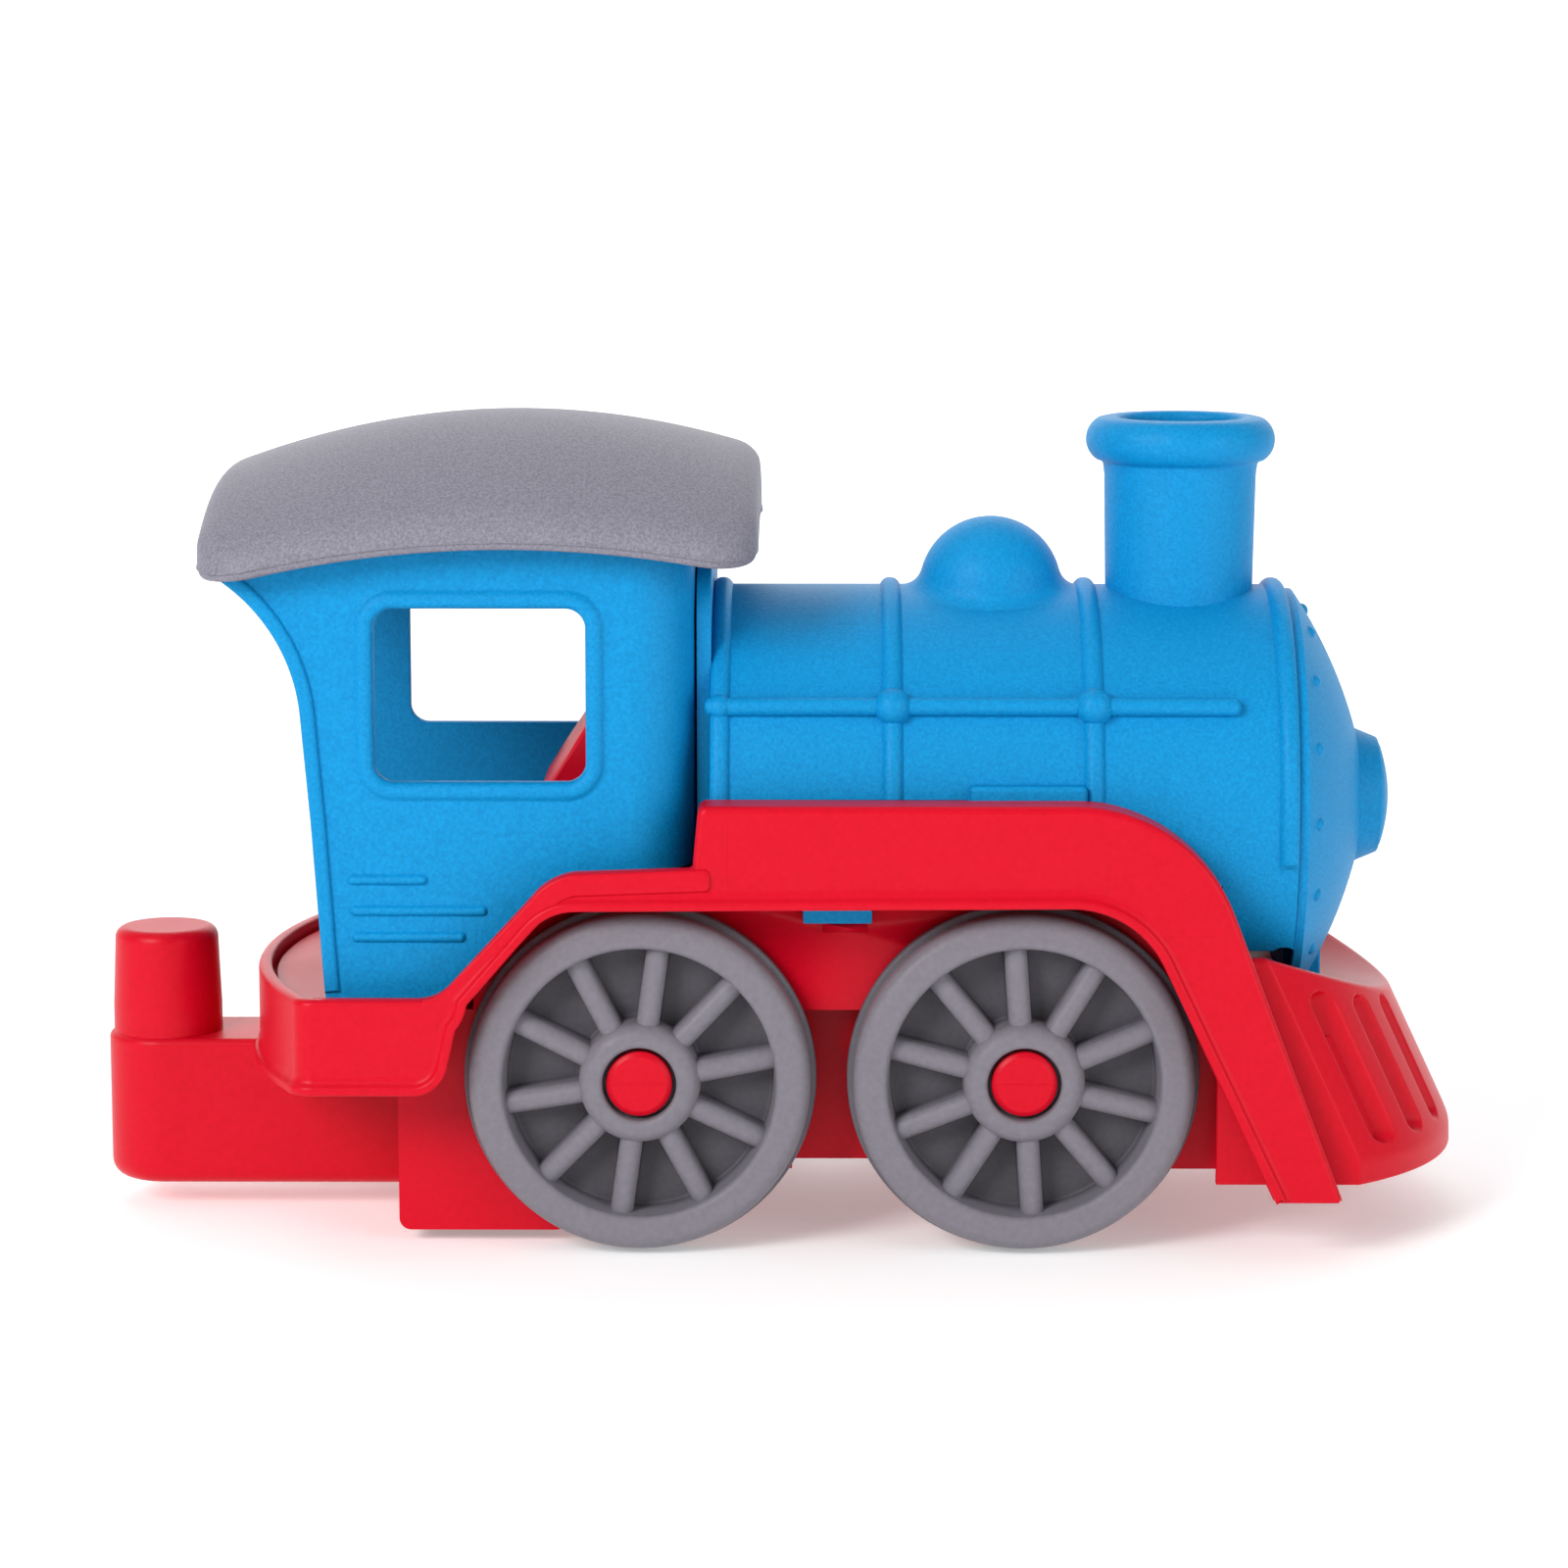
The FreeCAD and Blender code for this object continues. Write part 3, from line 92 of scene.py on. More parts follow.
def rounded(corners, closed=True):
    """A line through corners given as (x, y, radius), each rounded by its radius."""
    spots = [Vector(corner[:2]) for corner in corners]
    points = []
    for number, here in enumerate(spots):
        radius = corners[number][2] if len(corners[number]) > 2 else 0
        if not radius or (not closed and number in (0, len(spots) - 1)):
            points.append(here)
            continue
        back = (spots[number - 1] - here).normalized()
        ahead = (spots[(number + 1) % len(spots)] - here).normalized()
        reach = radius / math.tan(back.angle(ahead) / 2)
        side = "left" if -back.cross(ahead) > 0 else "right"
        points.append(here + back * reach)
        points += arc(here + back * reach, here + ahead * reach, radius, side)
    return points


def shifted(line, distances, closed=True):
    """The line moved to its left, by one distance or by one for each point."""
    if not hasattr(distances, "__len__"):
        distances = [distances] * len(line)
    moved = []
    for number, here in enumerate(line):
        before = line[number - 1] if closed or number else None
        after = line[(number + 1) % len(line)] if closed or number < len(line) - 1 else None
        ways = [(here - before).normalized()] if before is not None else []
        ways += [(after - here).normalized()] if after is not None else []
        lefts = [Vector((-way.y, way.x)) for way in ways]
        mitre = (lefts[0] + lefts[-1]) / (1 + lefts[0].dot(lefts[-1]))
        moved.append(here + mitre * distances[number])
    return moved


def spread(line, gap):
    """The same line with points no further apart than gap."""
    points = [line[0]]
    for before, after in zip(line, line[1:]):
        steps = max(1, math.ceil((after - before).length / gap))
        points += [before.lerp(after, number / steps) for number in range(1, steps + 1)]
    return points


def edge_round(radius, inset=0.0, top=0.0, steps=6):
    """(inset, height) levels round a convex edge that ends flat at height top."""
    levels = []
    for number in range(steps + 1):
        angle = math.pi / 2 * number / steps
        levels.append((inset + radius * (1 - math.cos(angle)), top - radius * (1 - math.sin(angle))))
    return levels


def strip(start, end, half):
    """The outline of a narrow straight strip from start to end."""
    start, end = Vector(start), Vector(end)
    along = (end - start).normalized()
    across = Vector((-along.y, along.x)) * half
    return [start - across, end - across, end + across, start + across]


def with_mirror(half):
    """A plan's right half and its mirror image on the left, with a point on the middle line kept once."""
    return half + [Vector((point.x, -point.y)) for point in reversed(half) if point.y]


def smooth(value):
    """0 below 0 and 1 above 1, with a soft step between them."""
    value = min(max(value, 0.0), 1.0)
    return value * value * (3 - 2 * value)


# ---------------------------------------------------------------- surfaces

class Shape:
    """Vertices in millimetres and the faces between them."""

    def __init__(self):
        self.points = []
        self.faces = []

    def add(self, points):
        first = len(self.points)
        self.points.extend(Vector(point) for point in points)
        return list(range(first, len(self.points)))

    def skin(self, rings, closed=True, looped=False):
        """Join rings of equal length. Returns the vertex numbers of the first and last ring."""
        rows = [self.add(ring) for ring in rings]
        pairs = list(zip(rows, rows[1:]))
        if looped:
            pairs.append((rows[-1], rows[0]))
        for low, high in pairs:
            count = len(low)
            for number in range(count if closed else count - 1):
                after = (number + 1) % count
                self.faces.append((low[number], low[after], high[after], high[number]))
        return rows[0], rows[-1]

    def cap(self, *loops):
        """Close flat loops of vertices: the first goes round the others."""
        outlines = [[self.points[number] for number in loop] for loop in loops]
        numbers = [number for loop in loops for number in loop]
        for corners in tessellate_polygon(outlines):
            self.faces.append(tuple(numbers[corner] for corner in corners))

    def block(self, outline, levels, put):
        """A solid on a closed anticlockwise outline: levels are (inset, height), put gives a vertex."""
        rings = [[put(point, height) for point in shifted(outline, inset)] for inset, height in levels]
        low, high = self.skin(rings)
        self.cap(low)
        self.cap(high)

    def lathe(self, profile, put, looped=False, steps=TURN_STEPS):
        """Turn (radius, height) points about an axis: put gives a vertex from across, up and height."""
        angles = [2 * math.pi * number / steps for number in range(steps)]
        self.skin([[put(radius * math.cos(angle), radius * math.sin(angle), height) for angle in angles]
                   for radius, height in profile], looped=looped)

    def ball(self, centre, radius, steps=40):
        centre = Vector(centre)
        rows = steps // 2
        profile = [(radius * math.sin(math.pi * row / rows), -radius * math.cos(math.pi * row / rows))
                   for row in range(rows + 1)]
        self.lathe(profile, lambda across, up, height: centre + Vector((across, up, height)), steps=steps)

    def mirror(self):
        """Add the other side's copy."""
        count = len(self.points)
        self.points += [Vector((point.x, -point.y, point.z)) for point in self.points]
        self.faces += [tuple(number + count for number in reversed(face)) for face in self.faces]


def mesh_of(name, shape):
    """A shape's mesh in metres, with its faces turned outwards."""
    mesh = bpy.data.meshes.new(name)
    mesh.from_pydata([point * MM for point in shape.points], [], shape.faces)
    work = bmesh.new()
    work.from_mesh(mesh)
    bmesh.ops.remove_doubles(work, verts=work.verts, dist=WELD)
    bmesh.ops.dissolve_degenerate(work, edges=work.edges, dist=SLIVER)
    bmesh.ops.recalc_face_normals(work, faces=work.faces)
    work.to_mesh(mesh)
    work.free()
    return mesh


def add_object(name, data):
    made = bpy.data.objects.new(name, data)
    bpy.context.scene.collection.objects.link(made)
    return made


def finish_mesh(mesh, material, crease):
    """Give a mesh its material and smooth shading, with edges sharper than crease degrees kept sharp."""
    mesh.materials.clear()
    mesh.materials.append(material)
    mesh.shade_smooth()
    mesh.set_sharp_from_angle(angle=math.radians(crease))


def piece(name, shape, material, nodes, body=CHASSIS, crease=38.0, weighted=True):
    """Turn a shape into an object that stands for CAD nodes and rides on their body."""
    mesh = mesh_of(name, shape)
    finish_mesh(mesh, material, crease)
    made = add_object(name, mesh)
    if weighted:
        made.modifiers.new("flat_faces_first", "WEIGHTED_NORMAL").keep_sharp = True
    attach(made, body)
    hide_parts(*nodes)
    return made


def carve(target, shape, operation):
    """Take a closed shape out of an object (DIFFERENCE), or keep only what lies in it (INTERSECT)."""
    tool = add_object("tool", mesh_of("tool", shape))
    cutter = target.modifiers.new("cut", "BOOLEAN")
    cutter.operation = operation
    cutter.solver = "EXACT"
    cutter.object = tool
    bpy.context.view_layer.objects.active = target
    bpy.ops.object.modifier_move_to_index(modifier=cutter.name, index=0)
    bpy.ops.object.modifier_apply(modifier=cutter.name)
    bpy.data.objects.remove(tool)


def on_side(sign):
    """Puts a point of a side view (x, z) at that distance from the middle, on one side."""
    return lambda point, out: Vector((point.x, sign * out, point.y))


# ---------------------------------------------------------------- materials

SPECULAR = 0.15                                # a low sheen that doesn't wash out the dark colours


def shader(name, colour, roughness):
    """A material with its principled shader set, and the node tree ready for more."""
    material = bpy.data.materials.new(name)
    material.use_nodes = True
    nodes, links = material.node_tree.nodes, material.node_tree.links
    surface = nodes["Principled BSDF"]
    surface.inputs["Base Color"].default_value = (*colour, 1)
    surface.inputs["Roughness"].default_value = roughness
    surface.inputs["Specular IOR Level"].default_value = SPECULAR
    return material, nodes, links, surface


def noise(nodes, links, scale, detail=2.0):
    """A noise texture in object coordinates, scale cells to the metre."""
    place = nodes.new("ShaderNodeTexCoord")
    texture = nodes.new("ShaderNodeTexNoise")
    texture.inputs["Scale"].default_value = scale
    texture.inputs["Detail"].default_value = detail
    links.new(place.outputs["Object"], texture.inputs["Vector"])
    return texture


def ramp(nodes, links, source, low, high, dark, light):
    """Map a value from low..high to two colours."""
    steps = nodes.new("ShaderNodeValToRGB")
    steps.color_ramp.elements[0].position = low
    steps.color_ramp.elements[1].position = high
    steps.color_ramp.elements[0].color = (*dark, 1)
    steps.color_ramp.elements[1].color = (*light, 1)
    links.new(source, steps.inputs["Fac"])
    return steps


def moulded_plastic(name, dark, light, roughness, grain_size, grain_depth, fleck):
    """Moulded plastic with a fine grain: the crests of the grain are a little lighter and catch the light."""
    broad_scale, polish = 22.0, 0.06             # broad patches a little shinier or duller than the rest
    material, nodes, links, surface = shader(name, light, roughness)
    grain = noise(nodes, links, 1 / grain_size, 2.5)
    broad = noise(nodes, links, broad_scale)
    tone = ramp(nodes, links, grain.outputs["Fac"], 0.5 - fleck, 0.5 + fleck, dark, light)
    links.new(tone.outputs["Color"], surface.inputs["Base Color"])
    shine = nodes.new("ShaderNodeMapRange")
    shine.inputs["To Min"].default_value = roughness - polish
    shine.inputs["To Max"].default_value = roughness + polish
    links.new(broad.outputs["Fac"], shine.inputs["Value"])
    links.new(shine.outputs["Result"], surface.inputs["Roughness"])
    bump = nodes.new("ShaderNodeBump")
    bump.inputs["Strength"].default_value = 1.0
    bump.inputs["Distance"].default_value = grain_depth
    links.new(grain.outputs["Fac"], bump.inputs["Height"])
    links.new(bump.outputs["Normal"], surface.inputs["Normal"])
    return material


def paint_recess_shade(material, floor, face, share):
    """Painted shade in a wheel's deep web: the tone drops to share of itself up to floor from the engine's
    middle, and stays whole at face, standing in for the shade that falls in the recess.
    """
    nodes, links = material.node_tree.nodes, material.node_tree.links
    surface = nodes["Principled BSDF"]
    plain = surface.inputs["Base Color"].links[0].from_socket
    place, split = nodes.new("ShaderNodeTexCoord"), nodes.new("ShaderNodeSeparateXYZ")
    links.new(place.outputs["Object"], split.inputs["Vector"])
    depth = nodes.new("ShaderNodeMath")
    depth.operation = "ABSOLUTE"
    links.new(split.outputs["Y"], depth.inputs[0])
    painted_shade = nodes.new("ShaderNodeMapRange")
    painted_shade.inputs["From Min"].default_value = floor * MM
    painted_shade.inputs["From Max"].default_value = face * MM
    painted_shade.inputs["To Min"].default_value = share
    painted_shade.inputs["To Max"].default_value = 1.0
    links.new(depth.outputs["Value"], painted_shade.inputs["Value"])
    # multiply the plastic's tone by the painted shade
    mix = nodes.new("ShaderNodeMix")
    mix.data_type, mix.blend_type = "RGBA", "MULTIPLY"
    mix.inputs["Factor"].default_value = 1.0
    links.new(plain, mix.inputs["A"])
    links.new(painted_shade.outputs["Result"], mix.inputs["B"])
    links.new(mix.outputs["Result"], surface.inputs["Base Color"])


BLUE = moulded_plastic("blue_grained", (0.001, 0.215, 0.50), (0.003, 0.285, 0.62), roughness=0.50,
                       grain_size=0.0006, grain_depth=0.00009, fleck=0.2)
RED = moulded_plastic("red_satin", (0.56, 0.001, 0.012), (0.63, 0.002, 0.018), roughness=0.36,
                      grain_size=0.0012, grain_depth=0.00001, fleck=0.3)
WHEEL_GREY = moulded_plastic("grey_satin", (0.170, 0.160, 0.186), (0.205, 0.192, 0.222), roughness=0.42,
                             grain_size=0.0012, grain_depth=0.00001, fleck=0.3)
ROOF_GREY = moulded_plastic("grey_grained", (0.165, 0.158, 0.195), (0.26, 0.252, 0.305), roughness=0.5,
                            grain_size=0.0005, grain_depth=0.00008, fleck=0.2)
# painted shade: this grey darkens towards the engine's middle, to half on the wheels' web, and also on any
# other part in this material that lies as near the middle
paint_recess_shade(WHEEL_GREY, floor=39.6, face=42.5, share=0.5)

COLOURS = {"blue_plastic": BLUE, "red_plastic": RED, "grey_plastic": WHEEL_GREY}
slots = {entry["node"]: entry["material_slot"] for entry in frame["record"]["subparts"]}
for name, node in frame["nodes"].items():
    material = ROOF_GREY if name == "roof" else COLOURS[slots[name]]
    for place in node.material_slots:
        place.material = material


# ---------------------------------------------------------------- wheels and pins

def axle_centre(name):
    """The x and z of a wheel's or a pin's axis."""
    low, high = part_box(name)
    return (low.x + high.x) / 2 / MM, (low.z + high.z) / 2 / MM


def make_wheels():
    web, ring_top, hub_top = 39.4, 47.0, 47.8    # how far out each face is from the engine's middle
    spokes, spoke_half, spoke_foot, crown_steps = 10, 2.15, 0.35, 14
    spoke_ends = ((9.2, 46.2), (26.0, 44.9))     # (distance from the axle, how far out the crown is)
    profile = rounded([
        (5.1, 37.3), (32.0, 37.5, 0.6), (33.2, 38.1, 0.8), (33.2, 40.5, 0.7), (31.1, 40.9, 0.4),
        (31.1, 42.0, 0.5), (32.2, 42.3, 0.5), (31.9, 47.05, 2.6), (25.7, ring_top, 1.2), (24.9, web, 0.6),
        (11.6, web, 0.6), (11.4, 44.6, 0.01), (10.9, hub_top, 2.9), (6.95, hub_top, 0.9), (6.9, 43.3),
        (5.1, 43.3),
    ])

    def spoke_section(top):
        """(across, out) points round a spoke: a flared foot in the web under a half-round crown."""
        foot = [(-spoke_half - spoke_foot, web - 0.2), (-spoke_half, web + 0.5)]
        crown = []
        for number in range(crown_steps + 1):
            angle = math.pi * number / crown_steps
            crown.append((-spoke_half * math.cos(angle), top - spoke_half * (1 - math.sin(angle))))
        return foot + crown + [(-across, out) for across, out in reversed(foot)]

    for axle, first_spoke in AXLES.items():
        for side, sign in SIDES.items():
            name = "wheel_%s_%s" % (axle, side)
            x, z = axle_centre(name)
            shape = Shape()
            shape.lathe(profile, lambda across, up, out: (x + across, sign * out, z + up), looped=True)
            for number in range(spokes):
                angle = math.radians(first_spoke) + 2 * math.pi * number / spokes
                along = Vector((math.cos(angle), 0, math.sin(angle)))
                sideways = Vector((-math.sin(angle), 0, math.cos(angle)))
                first, last = shape.skin([
                    [Vector((x, sign * out, z)) + along * reach + sideways * across
                     for across, out in spoke_section(top)] for reach, top in spoke_ends])
                shape.cap(first)
                shape.cap(last)
            piece(name + "_spoked", shape, WHEEL_GREY, [name], "wheelset_%s_%s" % (axle, side))


def make_pins():
    face, seam_reach, seam_half = 46.9, 4.9, 0.14
    profile = rounded([
        (0, 0.3), (4.5, 0.3, 0.4), (4.5, 36.9, 0.01), (5.0, 36.9, 0.01), (5.0, 43.6, 0.01), (6.2, 43.6, 0.2),
        (6.2, face - 0.6, 0.35), (5.2, face, 0.35), (0, face),
    ], closed=False)
    for axle in AXLES:
        for side, sign in SIDES.items():
            name = "axle_pin_%s_%s" % (axle, side)
            x, z = axle_centre(name)
            shape = Shape()
            shape.lathe(profile, lambda across, up, out: (x + across, sign * out, z + up), steps=72)
            seam = strip((x - seam_reach, z), (x + seam_reach, z), seam_half)
            shape.block(seam, [(0, face - 0.2), (0, face + 0.05), (0.05, face + 0.08)], on_side(sign))
            piece(name + "_turned", shape, RED, [name])


# ---------------------------------------------------------------- roof

ROOF_REAR, ROOF_FRONT, ROOF_HALF, ROOF_CREST_X = -107.8, -3.7, 48.2, -50.3
ROOF_CREST, EAVE, ROOF_RIM, ROOF_WALL = 155.95, 134.5, 4.6, 2.4
CREST_ARCH, EAVE_ARCH = 145.0, 209.0             # the radii of the lengthwise arches


def eave_height(x):
    return EAVE - (x - ROOF_CREST_X) ** 2 / (2 * EAVE_ARCH)


def roof_height(x, y):
    """The top of the roof, arched along and across."""
    crest = ROOF_CREST - (x - ROOF_CREST_X) ** 2 / (2 * CREST_ARCH)
    shoulder = eave_height(x) + ROOF_RIM
    rise = crest - shoulder
    radius = (ROOF_HALF ** 2 + rise ** 2) / 2 / rise
    return crest - radius + math.sqrt(radius ** 2 - y * y)


def make_roof():
    corner, skirt_inset = 11.0, 4.4
    shoulder_round, shoulder_drop, shoulder_steps = 4.2, 3.2, 9
    foot_inset, foot_round, foot_rise, foot_drop, foot_steps = 0.12, 0.9, 1.6, 1.2, 8
    end_arch = 0.45                              # the ends' lower edge arches this much of what the top does
    skirt_rise, skirt_drop, drop_from, drop_over = 0.9, 1.9, -22.0, 40.0
    top_rows, ceiling_rows = 40, 12
    parting_line = ((-0.1, 1.65), (-0.22, 1.78), (-0.22, 1.98), (-0.06, 2.12))
    plan = rounded([(ROOF_REAR, -ROOF_HALF, corner), (ROOF_FRONT, -ROOF_HALF, corner),
                    (ROOF_FRONT, ROOF_HALF, corner), (ROOF_REAR, ROOF_HALF, corner)])
    plan = spread(plan + plan[:1], 1.2)[:-1]
    middle = Vector(((ROOF_REAR + ROOF_FRONT) / 2, 0))

    def ring(inset, height):
        return [(point.x, point.y, height(point)) for point in shifted(plan, inset)]

    def shrunk(line, share, drop=0.0):
        """A ring on the roof's surface or below it, on a line shrunk towards the roof's middle."""
        spots = [middle + (point - middle) * share for point in line]
        return [(spot.x, spot.y, roof_height(spot.x, spot.y) - drop) for spot in spots]

    def rim_foot(point):
        """The height of the rim's lower edge."""
        arch = roof_height(point.x, point.y) - eave_height(point.x) - ROOF_RIM
        return eave_height(point.x) + end_arch * arch - foot_drop

    def above_foot(rise):
        return lambda point: rim_foot(point) + rise

    def above_skirt(rise):
        """Heights above the foot of the inner skirt, which hangs below the rim towards the rear."""
        def height(point):
            drop = skirt_drop * smooth((drop_from - point.x) / drop_over)
            return rim_foot(point) + skirt_rise - drop + rise
        return height

    def below_top(drop):
        return lambda point: roof_height(point.x, point.y) - drop

    ceiling = shifted(plan, skirt_inset)
    rings = [shrunk(ceiling, number / ceiling_rows, ROOF_WALL) for number in range(ceiling_rows + 1)]
    rings.append(ring(skirt_inset, below_top(ROOF_WALL + 0.6)))
    rings += [ring(inset, above_skirt(rise))
              for inset, rise in ((skirt_inset, 0.5), (4.1, 0), (3.3, 0), (2.9, 0.5))]
    rings += [ring(inset, above_foot(rise)) for inset, rise in ((2.85, 0.35), (2.3, 0.05))]
    for number in range(1, foot_steps + 1):
        angle = math.pi / 2 * number / foot_steps
        inset, rise = foot_inset + foot_round * (1 - math.sin(angle)), foot_rise * (1 - math.cos(angle))
        rings.append(ring(inset, above_foot(rise)))
    rings += [ring(inset, above_foot(rise)) for inset, rise in parting_line]
    for number in range(shoulder_steps + 1):
        angle = math.pi / 2 * number / shoulder_steps
        inset, drop = shoulder_round * (1 - math.cos(angle)), shoulder_drop * (1 - math.sin(angle))
        rings.append(ring(inset, below_top(drop)))
    inner = shifted(plan, shoulder_round)
    rings += [shrunk(inner, 1 - number / top_rows) for number in range(1, top_rows + 1)]
    shape = Shape()
    shape.skin(rings)
    piece("roof_canopy", shape, ROOF_GREY, ["roof"], crease=80.0, weighted=False)


# ---------------------------------------------------------------- cab

CAB_HALF, CAB_WALL, CAB_FRONT, CAB_CORNER = 40.5, 2.3, -15.6, 12.5
CAB_BEND = CAB_FRONT - CAB_CORNER                # where the sides start to turn into the front
CAB_TUCK = 3.0                                   # how far below the roof's top the walls end, inside the roof
DECK_LINE = [(-200.0, 48.0), (-66.2, 48.0), (-64.0, 48.5), (-61.8, 49.6), (-59.0, 51.7), (-44.0, 67.9),
             (-41.0, 70.4), (-37.0, 72.0), (-10.0, 72.8)]


def deck_floor(x):
    """The height of the cab's foot, which follows the deck and the rear fender."""
    for (x0, z0), (x1, z1) in zip(DECK_LINE, DECK_LINE[1:]):
        if x <= x1:
            return z0 + (z1 - z0) * (x - x0) / (x1 - x0)
    return DECK_LINE[-1][1]


def wall_top(x, y):
    return roof_height(x, y) - CAB_TUCK


def make_cab():
    inner, outer = CAB_HALF - CAB_WALL, CAB_HALF
    window = rounded([(-75.1, 89.4, 3.7), (-35.7, 89.4, 3.7), (-35.7, 121.9, 3.7), (-75.1, 121.9, 3.7)])
    rear_top = -103.6
    edge = trace((-84.85, 48.0), (-85.1, 50.0), (-87.2, 82.0), (-88.9, 102.0), (-103.2, 127.0, 34.0, "left"),
                 (rear_top, wall_top(rear_top, outer)))
    top = [Vector((x, wall_top(x, outer))) for x in (-100, -90, -80, -70, -60, -50, -40, -32, CAB_BEND)]
    foot_at = [-75] + [x for x, _ in DECK_LINE if -75 < x < CAB_BEND] + [CAB_BEND]
    foot = [Vector((x, deck_floor(x))) for x in foot_at]
    outline = list(reversed(edge)) + foot + list(reversed(top))
    shape = Shape()
    put = on_side(-1)
    # the side wall, with the bead round the window and the window's rounded sill
    bead = [(-3.9, 0), (-3.5, 0.12), (-3.15, 0.5), (-2.7, 0.9), (-2.1, 1.1), (-1.5, 1.12), (-0.9, 0.98),
            (-0.4, 0.6), (-0.1, 0.1)]
    sill = [(0, 1.7), (0, 0.4), (-0.15, 0.1), (-0.4, 0)]
    levels = [(inset, outer + rise) for inset, rise in bead] + [(inset, inner + rise) for inset, rise in sill]
    wide, narrow = shape.skin([[put(point, out) for point in shifted(window, inset)] for inset, out in levels])
    faces = shape.skin([[put(point, out) for point in outline] for out in (outer, inner)])
    shape.cap(faces[0], wide)
    shape.cap(faces[1], narrow)
    # ribs below the window
    rib_half = 0.9
    rib_levels = [(-0.25, -0.3), (-0.25, 0), (-0.05, 0.1), (0.1, 0.4), (0.3, 0.65), (0.55, 0.8), (0.75, 0.84)]
    for rear, front, height in ((-80.4, -65.5, 70.9), (-79.9, -54.4, 65.0), (-79.7, -58.5, 60.0)):
        rib = rounded([(x, z, 0.85) for x, z in ((rear, height - rib_half), (front, height - rib_half),
                                                 (front, height + rib_half), (rear, height + rib_half))])
        shape.block(rib, [(inset, outer + rise) for inset, rise in rib_levels], put)
    # the bead along the rear edge
    line = [point for point in edge if point.y > 49.3]
    line[0], line[-1] = Vector((-85.0, 49.4)), Vector((-103.4, 131.0))
    band = list(reversed(shifted(line, 0.04, closed=False))) + shifted(line, -2.8, closed=False)
    shape.block(band, [(0, outer - 1.0), (0, outer + 0.1)] + edge_round(0.9, 0.0, outer + 1.0, 5), put)
    shape.mirror()
    add_cab_front(shape, inner, outer)
    piece("cab_walls", shape, BLUE, ["cab_shell"])


def add_cab_front(shape, inner, outer):
    """The cab's rounded front corners, and the wall between them."""
    pivot = Vector((CAB_BEND, CAB_CORNER - outer))
    turn = arc(Vector((CAB_BEND, -outer)), Vector((CAB_FRONT, CAB_CORNER - outer)), CAB_CORNER, "left")
    shrink = (CAB_CORNER - CAB_WALL) / CAB_CORNER
    outside = [Vector((CAB_BEND, -outer))] + turn + [Vector((CAB_FRONT, 0))]
    inside = [Vector((CAB_BEND, -inner))] + [pivot + (point - pivot) * shrink for point in turn]
    inside.append(Vector((CAB_FRONT - CAB_WALL, 0)))
    rings = []
    for out, within in zip(with_mirror(outside), with_mirror(inside)):
        foot = deck_floor(out.x)
        rings.append([(out.x, out.y, foot), (out.x, out.y, wall_top(out.x, out.y)),
                      (within.x, within.y, wall_top(within.x, within.y)), (within.x, within.y, foot)])
    shape.skin(rings)


# ---------------------------------------------------------------- boiler

AXIS, BARREL, BARREL_WALL = 80.85, 41.0, 2.4
BANDS = (-10.8, 21.6, 59.3, 95.8)
BAND_HALF, BAND_RISE, NOTCH_Z = 1.9, 1.3, 73.5
BARREL_REAR, BARREL_FRONT, BARREL_STEP = -12.6, 97.6, 83.5
FLUE_X, FLUE = 77.5, 11.5
SADDLE_Z, SADDLE_TOP, SADDLE_FOOT = 130.4, 86.0, 84.8   # the axis and radii of the apron's hollow top, and
                                                        # of the smokebox's round foot that follows it


def band_rise(x, angle=math.pi / 2):
    """How far the barrel stands out at x: half-round bands. The front one ends at the notch."""
    rise = 0.0
    notched = AXIS + BARREL * math.sin(angle) < NOTCH_Z
    for centre in BANDS[:-1] if notched else BANDS:
        share = abs(x - centre) / BAND_HALF
        if share < 1:
            rise = max(rise, BAND_RISE * (1 - share ** 2.4) ** 0.8)
    return rise


def add_barrel(shape):
    """The barrel, open below: cut off over the running board, and reaching lower in front of the step."""
    rear_cut, front_cut, steps, band_steps = 69.6, 56.0, 132, 8
    stations = {BARREL_REAR, BARREL_STEP - 0.001, BARREL_STEP, BARREL_FRONT}
    for centre in BANDS:
        for number in range(-band_steps, band_steps + 1):
            stations.add(min(max(centre + BAND_HALF * number / band_steps, BARREL_REAR), BARREL_FRONT))
    rings = []
    for x in sorted(stations):
        cut = rear_cut if x < BARREL_STEP else front_cut
        ring = []
        for outer, order in ((True, 1), (False, -1)):
            radius = BARREL + band_rise(x) if outer else BARREL - BARREL_WALL
            dip = math.asin((AXIS - cut) / radius)
            angles = [-dip + (math.pi + 2 * dip) * number / steps for number in range(steps + 1)]
            for angle in angles[::order]:
                reach = BARREL + band_rise(x, angle) if outer else radius
                ring.append((x, reach * math.cos(angle), AXIS + reach * math.sin(angle)))
        rings.append(ring)
    first, last = shape.skin(rings)
    shape.cap(first)
    shape.cap(last)


